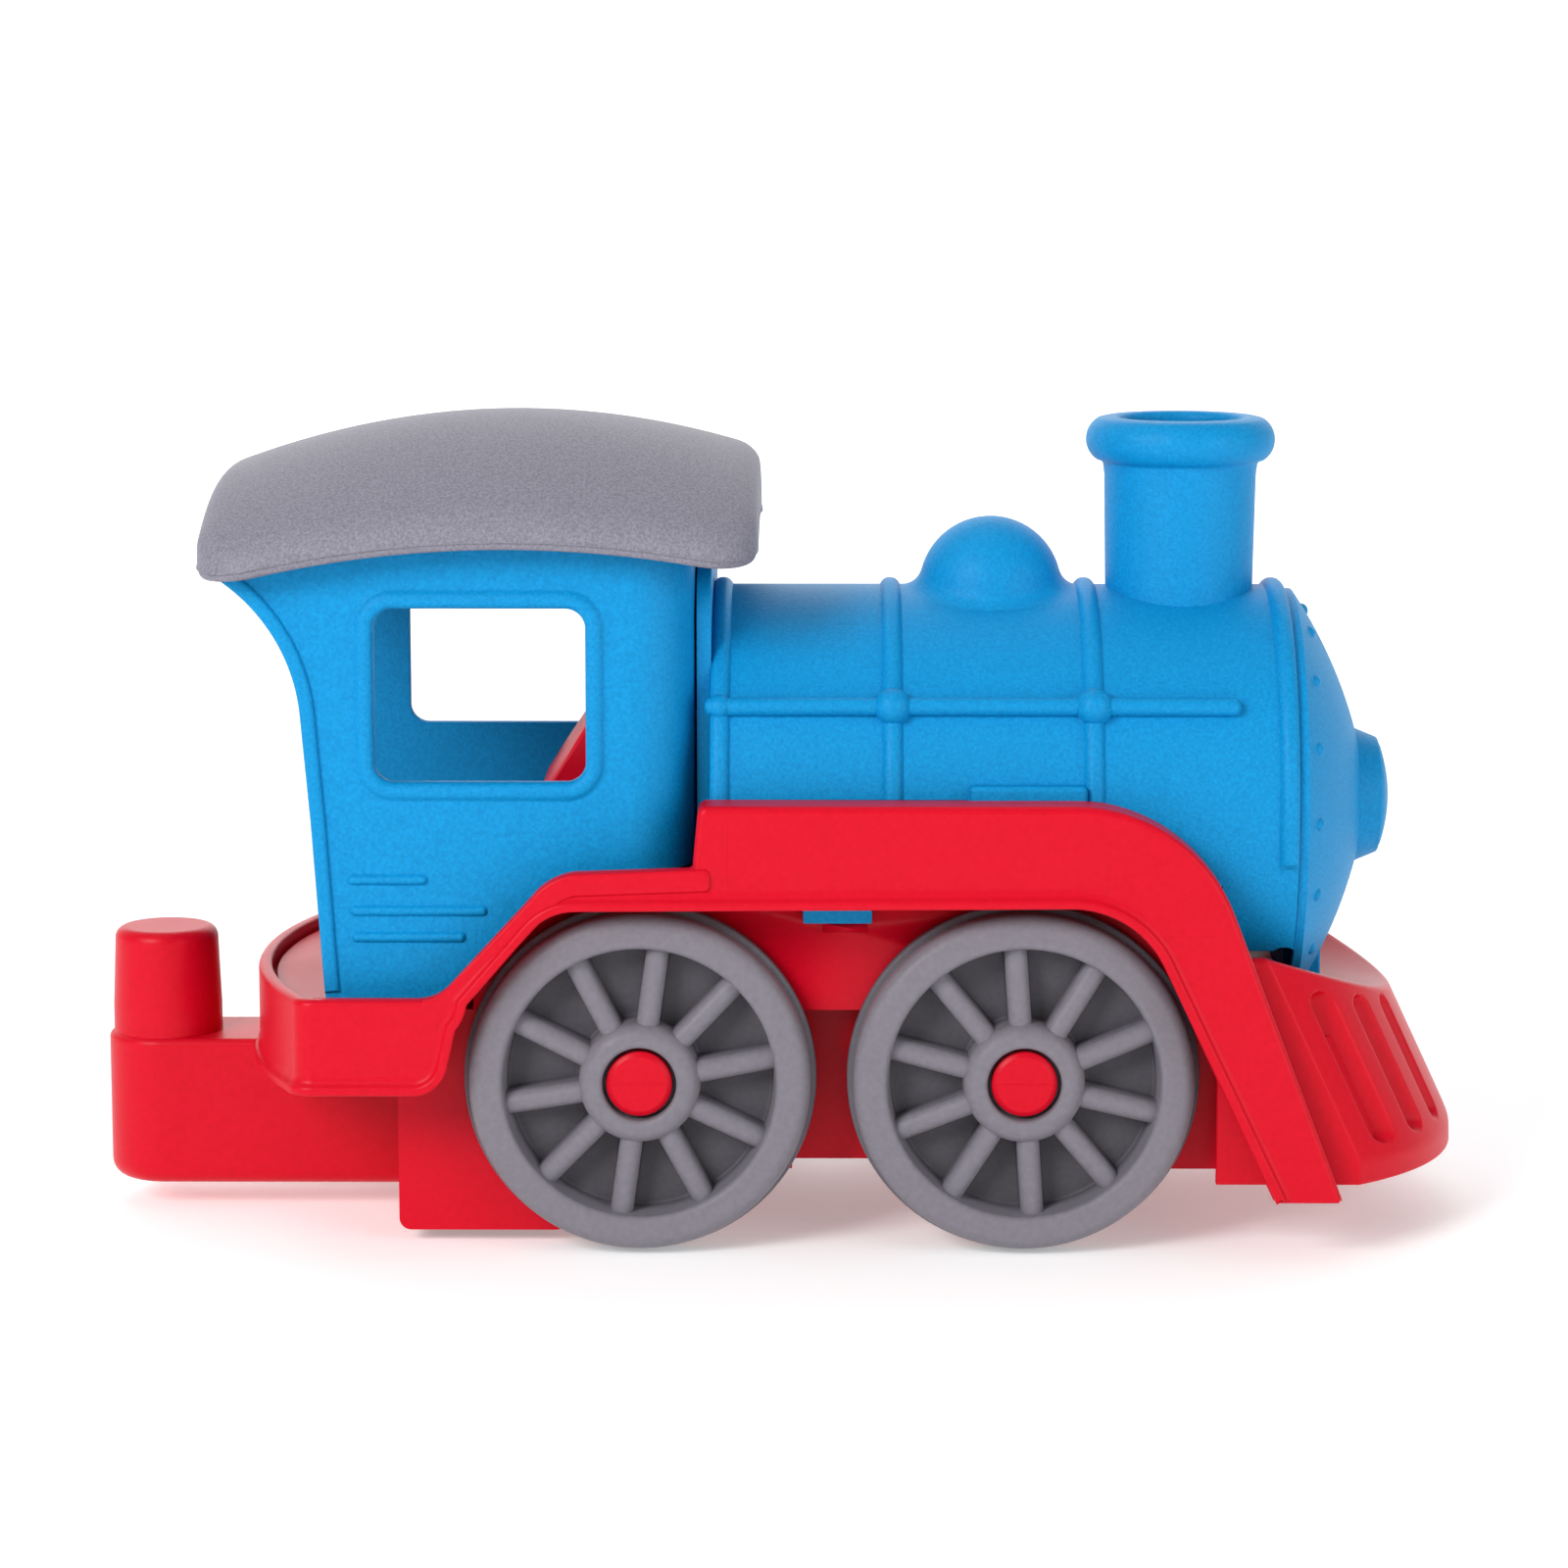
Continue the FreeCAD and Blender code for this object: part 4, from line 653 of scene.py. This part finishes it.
def make_boiler():
    shape = Shape()
    add_barrel(shape)
    rail_y, rail_z, rail = 35.6, 103.0, 1.7
    tube = rounded([(0, -13.6), (rail, -13.6, 1.2), (rail, 86.8, 1.4), (0, 86.8)], closed=False)
    boss = rounded([(35.9, 34.0), (57.8, 34.0), (57.8, 43.4, 1.2), (35.9, 43.4, 1.2)])
    tab = rounded([(4.8, 36.7), (17.8, 36.7), (17.8, 39.5, 0.3), (4.8, 39.5, 0.3)])
    for sign in SIDES.values():
        # the handrail with its knobs
        shape.lathe(tube, lambda across, up, along: (along, sign * rail_y + across, rail_z + up), steps=32)
        for x, radius in ((BANDS[0], 2.3), (BANDS[1], 3.5), (BANDS[2], 3.5)):
            shape.ball((x, sign * rail_y, rail_z), radius)
        # the boss over the fender, and the clip that reaches down through its shelf
        for outline, levels in ((boss, [(0, 82.0)] + edge_round(1.0, 0.0, 89.0)),
                                (tab, [(0.3, 62.4), (0, 62.7), (0, 75.0)])):
            shape.block(outline, levels, lambda point, height: (point.x, sign * point.y, height))
    # the plate between the barrel and the cab
    plate = rounded([(-30.0, 73.6, 9.0), (30.0, 73.6, 9.0), (30.0, 128.0, 9.0), (-30.0, 128.0, 9.0)])
    shape.block(plate, [(0, -15.2), (0, -12.9), (0.3, -12.5)], lambda point, x: (x, point.x, point.y))
    add_dome(shape)
    boiler = piece("boiler_barrel", shape, BLUE, ["boiler_shell"])
    flue = Shape()
    flue.lathe([(0, 100.0), (FLUE, 100.0), (FLUE, 135.0), (0, 135.0)],
               lambda across, up, height: (FLUE_X + across, up, height), steps=96)
    carve(boiler, flue, "DIFFERENCE")


def add_dome(shape):
    """The steam dome: a ball's crown that runs into the barrel through a soft fillet."""
    x, top, radius, fillet = 41.0, 135.3, 13.8, 4.2
    rows, root_rows, steps = 14, 8, 120
    sunk = 0.012                                 # how far the fillet's foot lies in the barrel
    centre = top - radius

    def barrel(distance, turn):
        """The barrel's height and slope at a distance from the dome's axis, in one direction."""
        y = distance * math.sin(turn)
        height = AXIS + math.sqrt(BARREL ** 2 - y * y)
        slope = -y * math.sin(turn) / math.sqrt(BARREL ** 2 - y * y)
        return height, slope

    columns = []
    for number in range(steps):
        turn = 2 * math.pi * number / steps
        # halve the range of angles until the fillet's circle touches both the ball and the barrel
        low, high = -0.8, 1.2
        for _ in range(40):
            tilt = (low + high) / 2
            spot = Vector(((radius + fillet) * math.cos(tilt), centre + (radius + fillet) * math.sin(tilt)))
            height, slope = barrel(spot.x, turn)
            if (spot.y - height) / math.sqrt(1 + slope ** 2) > fillet:
                high = tilt
            else:
                low = tilt
        start = math.pi + tilt
        end = math.atan2(-1.0, slope) + 2 * math.pi
        column = [(radius * math.sin(angle), centre + radius * math.cos(angle))
                  for angle in ((math.pi / 2 - tilt) * k / rows for k in range(rows + 1))]
        for k in range(1, root_rows + 1):
            angle = start + (end - start) * k / root_rows
            column.append((spot.x + fillet * math.cos(angle), spot.y + fillet * math.sin(angle)))
        column[-1] = (column[-1][0], column[-1][1] - sunk)
        columns.append([(x + d * math.cos(turn), d * math.sin(turn), z) for d, z in column])
    shape.skin(columns, closed=False, looped=True)


def make_smokebox():
    rear, rim, wall_rim = 97.8, 40.2, 37.8
    lamp = 13.1
    rivets, rivet_ring, rivet_x, rivet, lowest_rivet = 16, 36.0, 101.2, 1.5, 50.0
    cone = trace((lamp, 112.0), (rim, 99.4, 91.0, "right"))
    inside = [Vector((0.0, 109.6))] + trace((12.0, 109.0), (wall_rim, 98.6, 91.0, "right"))
    glass = [(radius, 118.7 - radius ** 2 / 58.0) for radius in (10.0, 9.0, 7.5, 6.0, 4.5, 3.0, 1.5, 0.0)]
    profile = inside + [(wall_rim, rear), (rim, rear), (rim, 98.9)] + list(reversed(cone))
    profile += rounded([(lamp, 112.0), (lamp, 111.9), (11.2, 116.5, 0.5), (10.2, 116.75)], closed=False)
    profile += glass

    def underside(y):
        return SADDLE_Z - math.sqrt(SADDLE_FOOT ** 2 - y * y)

    shape = Shape()
    shape.lathe(profile, lambda across, up, along: (along, across, max(AXIS + up, underside(across))),
                looped=True)
    tab = rounded([(-12.0, 45.4, 0.6), (12.0, 45.4, 0.6), (12.0, 66.0), (-12.0, 66.0)])
    shape.block(tab, [(0, rear), (0, 104.6), (0.4, 105.0)],
                lambda point, x: (x, point.x, max(point.y, underside(point.x))))
    for number in range(rivets):
        angle = 2 * math.pi * number / rivets
        middle = Vector((rivet_x, -rivet_ring * math.cos(angle), AXIS + rivet_ring * math.sin(angle)))
        if middle.z > lowest_rivet:
            shape.ball(middle, rivet, 20)
    piece("smokebox_door", shape, BLUE, ["smokebox_front"])


def make_chimney():
    foot, foot_top, sunk, top = 14.2, 123.2, 0.4, 154.6
    wall = trace((14.62, 143.5), (14.9, 145.6), (16.0, 146.35, 1.4, "right"))
    rim = trace((15.9, 146.2), (18.2, 150.3, 4.6, "left"), (15.9, 154.3, 4.6, "left"), (14.6, top),
                (12.7, top), (FLUE, 153.4, 1.3, "left"))
    angles = [2 * math.pi * number / TURN_STEPS for number in range(TURN_STEPS)]

    def turned(radius, height):
        """A ring about the flue's axis, at a height that may depend on y."""
        spots = [(radius * math.cos(angle), radius * math.sin(angle)) for angle in angles]
        return [(FLUE_X + x, y, height(y)) for x, y in spots]

    def on_barrel(y):
        return AXIS + math.sqrt(BARREL ** 2 - y * y) - sunk

    rings = [turned(radius, on_barrel) for radius in (FLUE, foot)]
    for radius, height in [(foot + 0.05, foot_top)] + wall + rim[1:]:
        rings.append(turned(radius, lambda y: height))
    shape = Shape()
    shape.skin(rings, looped=True)
    piece("chimney_stack", shape, BLUE, ["chimney"])


# ---------------------------------------------------------------- apron

APRON_HALF, APRON_REAR, APRON_WALL = 44.6, 82.65, 2.6
APRON_CORNER, APRON_BOW, BOW_X = 109.7, 56.0, 75.8      # the corner's x, the bow's radius and its centre
APRON_FOOT, LEAN_FROM, LEAN = 13.4, 17.9, 0.47          # upright up to LEAN_FROM, then leaning back
SLOTS = ((35.9, 40.9, 49.0), (26.6, 31.4, 46.5), (16.3, 21.1, 44.6))       # near and far side, and top
SLOT_FOOT, SLOT_EDGE, SLOT_FLOOR = 20.6, 0.35, 0.25


def apron_front(y):
    return BOW_X + math.sqrt(max(APRON_BOW ** 2 - y * y, 0.0))


def apron_top(y):
    return SADDLE_Z - math.sqrt(SADDLE_TOP ** 2 - y * y)


def slot_depth(y, z):
    """How far the surface is set back at a point of the front: flat-floored slots with round ends."""
    for near, far, top in SLOTS:
        radius, middle = (far - near) / 2, (near + far) / 2
        beyond = max(SLOT_FOOT + radius - z, z - (top - radius), 0.0)
        inside = radius - math.hypot(abs(y) - middle, beyond)
        if inside > -SLOT_EDGE:
            floor = apron_front(y) - apron_front(far) + SLOT_FLOOR
            return floor * smooth((inside + SLOT_EDGE) / (2 * SLOT_EDGE))
    return 0.0


def apron_plan():
    """The apron's foot in plan, with close points on the bow for the slots."""
    bow_step, bow_steps = 0.3, 145
    side = [Vector((x, -APRON_HALF)) for x in (APRON_REAR, 88.0, 94.0, 100.0, 106.0)]
    bow = [Vector((apron_front(y), y)) for y in (-bow_step * number for number in range(bow_steps, -1, -1))]
    turn = rounded([side[-1], (APRON_CORNER, -APRON_HALF, 1.1), bow[1]], closed=False)[1:-1]
    return with_mirror(side + turn + bow[1:])


def apron_column(point, out):
    """(spot in plan, height) from the foot to the top's soft edge, at a point of the plan."""
    top, edge, edge_steps, steps = apron_top(point.y), 1.0, 5, 84
    bend, front_half = 1.2, 43.0                 # how soft the bend is, and how far across the front reaches
    foot = ((0.5, 0.0), (0.15, 0.15), (0.0, 0.5))
    column = [(point - out * inset, APRON_FOOT + rise) for inset, rise in foot]
    low, high = LEAN_FROM + 0.3, top - edge
    heights = [APRON_FOOT + 0.6] + [LEAN_FROM - drop for drop in (1.6, 1.1, 0.6, 0.2)]
    heights += [low + (high - low) * number / steps for number in range(steps + 1)]
    for z in heights:
        over = z - LEAN_FROM
        back = LEAN * (over + math.sqrt(over * over + bend)) / 2
        if abs(point.y) < front_half and point.x > APRON_CORNER:
            back += slot_depth(point.y, z)
        column.append((point - Vector((back, 0)), z))
    for number in range(1, edge_steps + 1):
        angle = math.pi / 2 * number / edge_steps
        z = high + edge * math.sin(angle)
        spot = point - Vector((LEAN * (z - LEAN_FROM), 0)) - out * edge * (1 - math.cos(angle))
        column.append((spot, z))
    return column


def make_apron():
    ceiling_z, flange = 40.4, 3.0
    plan = apron_plan()
    outward = [(far - near).normalized() for far, near in zip(shifted(plan, -1.0, closed=False), plan)]
    rings = [[(max(spot.x, APRON_REAR), spot.y, z) for spot, z in apron_column(point, out)]
             for point, out in zip(plan, outward)]
    shape = Shape()
    shape.skin(rings, closed=False)
    # the saddle on top, from the front edge back
    crown = [Vector(ring[-1]) for ring in rings if ring[-1][0] > APRON_REAR + 0.1]
    back = [Vector((APRON_REAR, point.y, point.z)) for point in crown]
    shape.skin([crown, [point.lerp(behind, 0.04) for point, behind in zip(crown, back)], back,
                [point - Vector((0, 0, flange)) for point in back]], closed=False)
    # the hollow behind
    inner = []
    for point in shifted(plan, APRON_WALL, closed=False):
        inner.append([(max(point.x - LEAN * max(z - LEAN_FROM, 0.0), APRON_REAR), point.y, z)
                      for z in (APRON_FOOT, LEAN_FROM, ceiling_z)])
    shape.skin(inner, closed=False)
    shape.skin([[ring[0] for ring in rings], [column[0] for column in inner]], closed=False)
    ceiling = [column[-1] for column in inner]
    half = (len(ceiling) + 1) // 2
    shape.skin([ceiling[:half], list(reversed(ceiling[-half:]))], closed=False)
    piece("apron_plough", shape, RED, ["cowcatcher"], crease=50.0)


# ---------------------------------------------------------------- running board

BOARD_INNER, BOARD_FACE, BOARD_LIP = 48.6, 51.2, 52.4      # how far out the skirt's surfaces are
BOARD_SEAM, RIM_TOP, RIM_FOOT = -80.0, 50.0, 32.0


def upper_edge():
    """The skirt's upper edge from the deck's wall over both fenders to the front leg's foot."""
    return trace((BOARD_SEAM, RIM_TOP), (-66.5, RIM_TOP), (-60.5, 53.0, 8.3, "left"), (-45.5, 69.3),
                 (-37.5, 74.0, 12.0, "right"), (-16.2, 74.8), (-15.6, 75.1), (-14.7, 84.8),
                 (-13.0, 86.5, 1.9, "right"), (55.0, 86.5), (84.9, 66.0, 32.0, "right"), (105.5, 12.6),
                 (105.0, 11.5, 0.9, "right"))


def lower_edge():
    """The skirt's lower edge from the leg's foot back over the wheels."""
    return trace((93.4, 11.5), (93.0, 12.4, 0.9, "right"), (71.6, 56.9), (54.5, 67.5, 19.0, "left"),
                 (-38.0, 66.9), (-46.0, 62.6, 11.0, "left"), (-57.6, 49.2), (-59.7, 44.5, 9.0, "right"),
                 (-61.4, 37.0), (-67.2, RIM_FOOT, 6.8, "right"), (BOARD_SEAM, RIM_FOOT))


def skirt_sections():
    """(inset, out) levels through the skirt, of equal length, for each kind of edge."""
    inside = [(inset, BOARD_INNER + rise) for inset, rise in ((0.5, 0.0), (0.22, 0.1), (0.06, 0.3), (0.0, 0.6))]
    lip = [(0.0, 0.45), (0.12, 0.12), (0.42, 0.0), (1.25, 0.0), (1.6, 0.15), (1.85, 0.45), (2.1, 0.8),
           (2.6, 1.02)]
    soft = edge_round(1.3, 0.0, BOARD_FACE, 8)
    return {
        "rim": inside + soft,
        "ledge": [(0.0, out) for _, out in inside] + soft,
        "foot": inside + edge_round(0.6, 0.0, BOARD_FACE, 8),
        "lip": inside + [(inset, BOARD_LIP - drop) for inset, drop in lip] + [(3.5, BOARD_FACE)],
    }


def make_board():
    ledge_x, witness_half = -16.3, 0.11
    witness_lines = (((-9.2, 71.0), (-9.2, 84.6)), ((61.2, 70.6), (61.8, 83.0)), ((72.2, 62.2), (81.0, 62.2)))
    witness_levels = [(0, BOARD_FACE - 0.1), (0, BOARD_FACE + 0.03), (0.05, BOARD_FACE + 0.06)]
    upper, lower = upper_edge(), lower_edge()
    sections = skirt_sections()
    kinds = ["rim" if point.x < ledge_x else "ledge" for point in upper] + ["lip"] * len(lower)
    kinds[len(upper) - 1] = kinds[len(upper)] = "foot"
    shape = Shape()
    put = on_side(-1)
    rings = []
    for level in range(len(sections["lip"])):
        moved = shifted(upper + lower, [-sections[kind][level][0] for kind in kinds], closed=False)
        rings.append([put(point, sections[kind][level][1]) for point, kind in zip(moved, kinds)])
    first, last = shape.skin(rings, closed=False)
    shape.cap(first)
    shape.cap(last)
    add_band(shape, upper, put)
    for start, end in witness_lines:
        shape.block(strip(start, end, witness_half), witness_levels, put)
    shape.mirror()
    add_deck_wall(shape, sections)
    piece("running_board_skirt", shape, RED, ["running_board"], crease=50.0)
    make_inner_board()


def add_deck_wall(shape, sections):
    """The wall round the deck's rear end: the skirt's section carried round in plan."""
    bow = arc(Vector((-89.0, -BOARD_FACE)), Vector((-89.0, BOARD_FACE)), 111.0, "right")
    corner = rounded([(BOARD_SEAM, -BOARD_FACE), (-89.2, -BOARD_FACE, 4.5), bow[1]], closed=False)
    plan = with_mirror([point for point in corner[:-1] + bow[1:-2] if point.y < 0])
    section = [(out - BOARD_FACE, RIM_TOP - depth) for depth, out in sections["rim"]]
    section += [(out - BOARD_FACE, RIM_FOOT + depth) for depth, out in reversed(sections["lip"])]
    rings = [[(point.x, point.y, height) for point in shifted(plan, proud, closed=False)]
             for proud, height in section]
    shape.skin(rings, closed=False)
    shape.skin([rings[0], rings[-1]], closed=False)


def add_band(shape, upper, put):
    """The rear fender's face band, which laps over the tall panel and ends round."""
    width, proud, end_round = 4.3, 0.6, 0.9
    fade_from, fade_over, pinch_depth = -66.0, 22.0, 0.9
    lap, tip = Vector((-13.6, 74.9)), Vector((-12.6, 74.95))
    path = spread([point for point in upper if fade_from <= point.x < -16.0] + [lap], 0.8)
    path += spread([lap, tip], 0.1)[1:]
    rings = []
    for number, point in enumerate(path):
        left = min((tip.x - point.x) / end_round, 1.0)
        pinch = pinch_depth * (1 - math.sqrt(max(1 - (1 - left) ** 2, 0.0)))
        lift = proud * smooth((point.x - fade_from) / fade_over)
        side = [(0.0, -0.3), (0.0, lift * 0.3), (0.15, lift * 0.75), (0.5, lift)]
        levels = [(0.1 + pinch + inset, rise) for inset, rise in side]
        levels += [(width - pinch - inset, rise) for inset, rise in reversed(side)]
        before, after = path[max(number - 1, 0)], path[min(number + 1, len(path) - 1)]
        way = (after - before).normalized()
        down = Vector((way.y, -way.x))
        rings.append([put(point + down * inset, BOARD_FACE + rise) for inset, rise in levels])
    first, last = shape.skin(rings)
    shape.cap(first)
    shape.cap(last)


def make_inner_board():
    """The CAD moulding between the skirts: its deck, ledges, shelf and inner walls."""
    half, rear, bow, crease = BOARD_INNER + 0.15, -86.3, 108.5, 30.0
    mesh = frame["nodes"]["running_board"].data.copy()
    work = bmesh.new()
    work.from_mesh(mesh)
    bmesh.ops.remove_doubles(work, verts=work.verts, dist=WELD)
    work.to_mesh(mesh)
    work.free()
    core = add_object("running_board_core", mesh)
    edge = [Vector((rear, -half))] + arc(Vector((rear, -half)), Vector((rear, half)), bow, "right")
    keep = Shape()
    keep.block([Vector((120.0, -half)), Vector((120.0, half))] + list(reversed(edge)), [(0, 0.0), (0, 100.0)],
               lambda point, height: (point.x, point.y, height))
    carve(core, keep, "INTERSECT")
    finish_mesh(core.data, RED, crease)
    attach(core, CHASSIS)


# ---------------------------------------------------------------- backhead

def make_backhead():
    """The firebox end behind the cab's floor: a leaning face with upright flutes and a rounded brow."""
    half, front, fade_rows, fade_width = 24.0, -18.2, 3.0, 2.0
    depth, pitch, drift = 0.55, 5.4, 0.35        # the flutes, which wander a little as they rise
    side_round, side_depth = 0.9, 0.8
    face = spread(trace((-48.5, 63.4), (-46.2, 82.7), (-33.2, 102.6), (-26.0, 105.0, 9.0, "right")), 1.5)
    across_face = [point.x for point in spread([Vector((-half, 0)), Vector((half, 0))], 0.45)]
    rings = []
    for number, spot in enumerate(face):
        way = (face[min(number + 1, len(face) - 1)] - face[max(number - 1, 0)]).normalized()
        inward = Vector((way.y, -way.x))
        ends = smooth(min(number, len(face) - 1 - number) / fade_rows)
        row = []
        for across in across_face:
            margin = half - abs(across)
            wave = (1 - math.cos(2 * math.pi * (across + drift * spot.y) / pitch)) / 2
            sink = depth * wave * ends * smooth(margin / fade_width)
            sink += side_depth * max(side_round - margin, 0.0)
            row.append((spot.x + inward.x * sink, across, spot.y + inward.y * sink))
        rings.append(row)
    for x, z in ((front, 104.0), (front, 72.3), (-36.8, 72.1), (-43.87, 68.0)):
        rings.append([(x, across, z) for across in across_face])
    shape = Shape()
    shape.skin(rings, closed=False, looped=True)
    for end in (0, len(across_face) - 1):
        shape.cap([row * len(across_face) + end for row in range(len(rings))])
    piece("backhead_fluted", shape, RED, ["backhead"], crease=50.0)


make_wheels()
make_pins()
make_backhead()
make_roof()
make_cab()
make_boiler()
make_smokebox()
make_chimney()
make_apron()
make_board()


# ---------------------------------------------------------------- camera, floor and light

def make_camera():
    """A long lens a little above the engine's near side, looking slightly down."""
    data = bpy.data.cameras.new("camera")
    data.sensor_width, data.lens = 36.0, 105.75
    data.clip_start, data.clip_end = 0.05, 20
    camera = add_object("camera", data)
    camera.location = (0.00675, -0.8889, 0.2236)
    looking = Vector((-0.00638, 0.98765, -0.15655))
    camera.rotation_euler = looking.to_track_quat("-Z", "Y").to_euler()
    bpy.context.scene.camera = camera


def soft_light(name, place, size, power, aim=(0, 0, 0.07)):
    """A rectangular light that points at the engine's middle unless told otherwise."""
    data = bpy.data.lights.new(name, "AREA")
    data.shape = "RECTANGLE"
    data.size, data.size_y = size
    data.energy = power
    light = add_object(name, data)
    light.location = place
    light.rotation_euler = (Vector(aim) - Vector(place)).to_track_quat("-Z", "Y").to_euler()


def make_floor():
    """A plain pale floor that curves up into a pale wall far behind."""
    wide, near, far, rise, bend, bend_steps, glow = 8.0, -3.0, 2.5, 5.0, 1.5, 24, 0.3
    line = [(near, 0.0)]
    for number in range(bend_steps + 1):
        angle = math.pi / 2 * number / bend_steps
        line.append((far - bend + bend * math.sin(angle), bend - bend * math.cos(angle)))
    line.append((far, rise))
    points = [(x, y, z) for y, z in line for x in (-wide, wide)]
    faces = [(2 * k, 2 * k + 1, 2 * k + 3, 2 * k + 2) for k in range(len(line) - 1)]
    mesh = bpy.data.meshes.new("floor")
    mesh.from_pydata(points, [], faces)
    mesh.shade_smooth()
    floor = add_object("floor", mesh)
    material, nodes, links, surface = shader("pale_floor", (0.9, 0.9, 0.9), 0.9)
    patches = noise(nodes, links, 3.0).outputs["Fac"]
    tone = ramp(nodes, links, patches, 0.3, 0.7, (0.89, 0.89, 0.89), (0.91, 0.91, 0.91))
    links.new(tone.outputs["Color"], surface.inputs["Base Color"])
    surface.inputs["Emission Color"].default_value = (1, 1, 1, 1)
    surface.inputs["Emission Strength"].default_value = glow
    mesh.materials.append(material)


def make_world(strength):
    """Even white light from all round."""
    world = bpy.data.worlds.new("studio")
    world.use_nodes = True
    background = world.node_tree.nodes["Background"]
    background.inputs["Color"].default_value = (1, 1, 1, 1)
    background.inputs["Strength"].default_value = strength
    bpy.context.scene.world = world


make_camera()
make_floor()
soft_light("key", place=(-0.85, -1.1, 0.8), size=(0.6, 0.6), power=17)
soft_light("fill", place=(1.2, -1.0, 0.45), size=(1.0, 1.0), power=8)
soft_light("top", place=(-0.2, 0.3, 1.5), size=(1.2, 1.2), power=3)
soft_light("backdrop", place=(0.0, 1.6, 1.8), size=(3.0, 1.0), power=45, aim=(0, 3.2, 0.8))
make_world(0.35)
bpy.context.scene.view_settings.view_transform = "Standard"
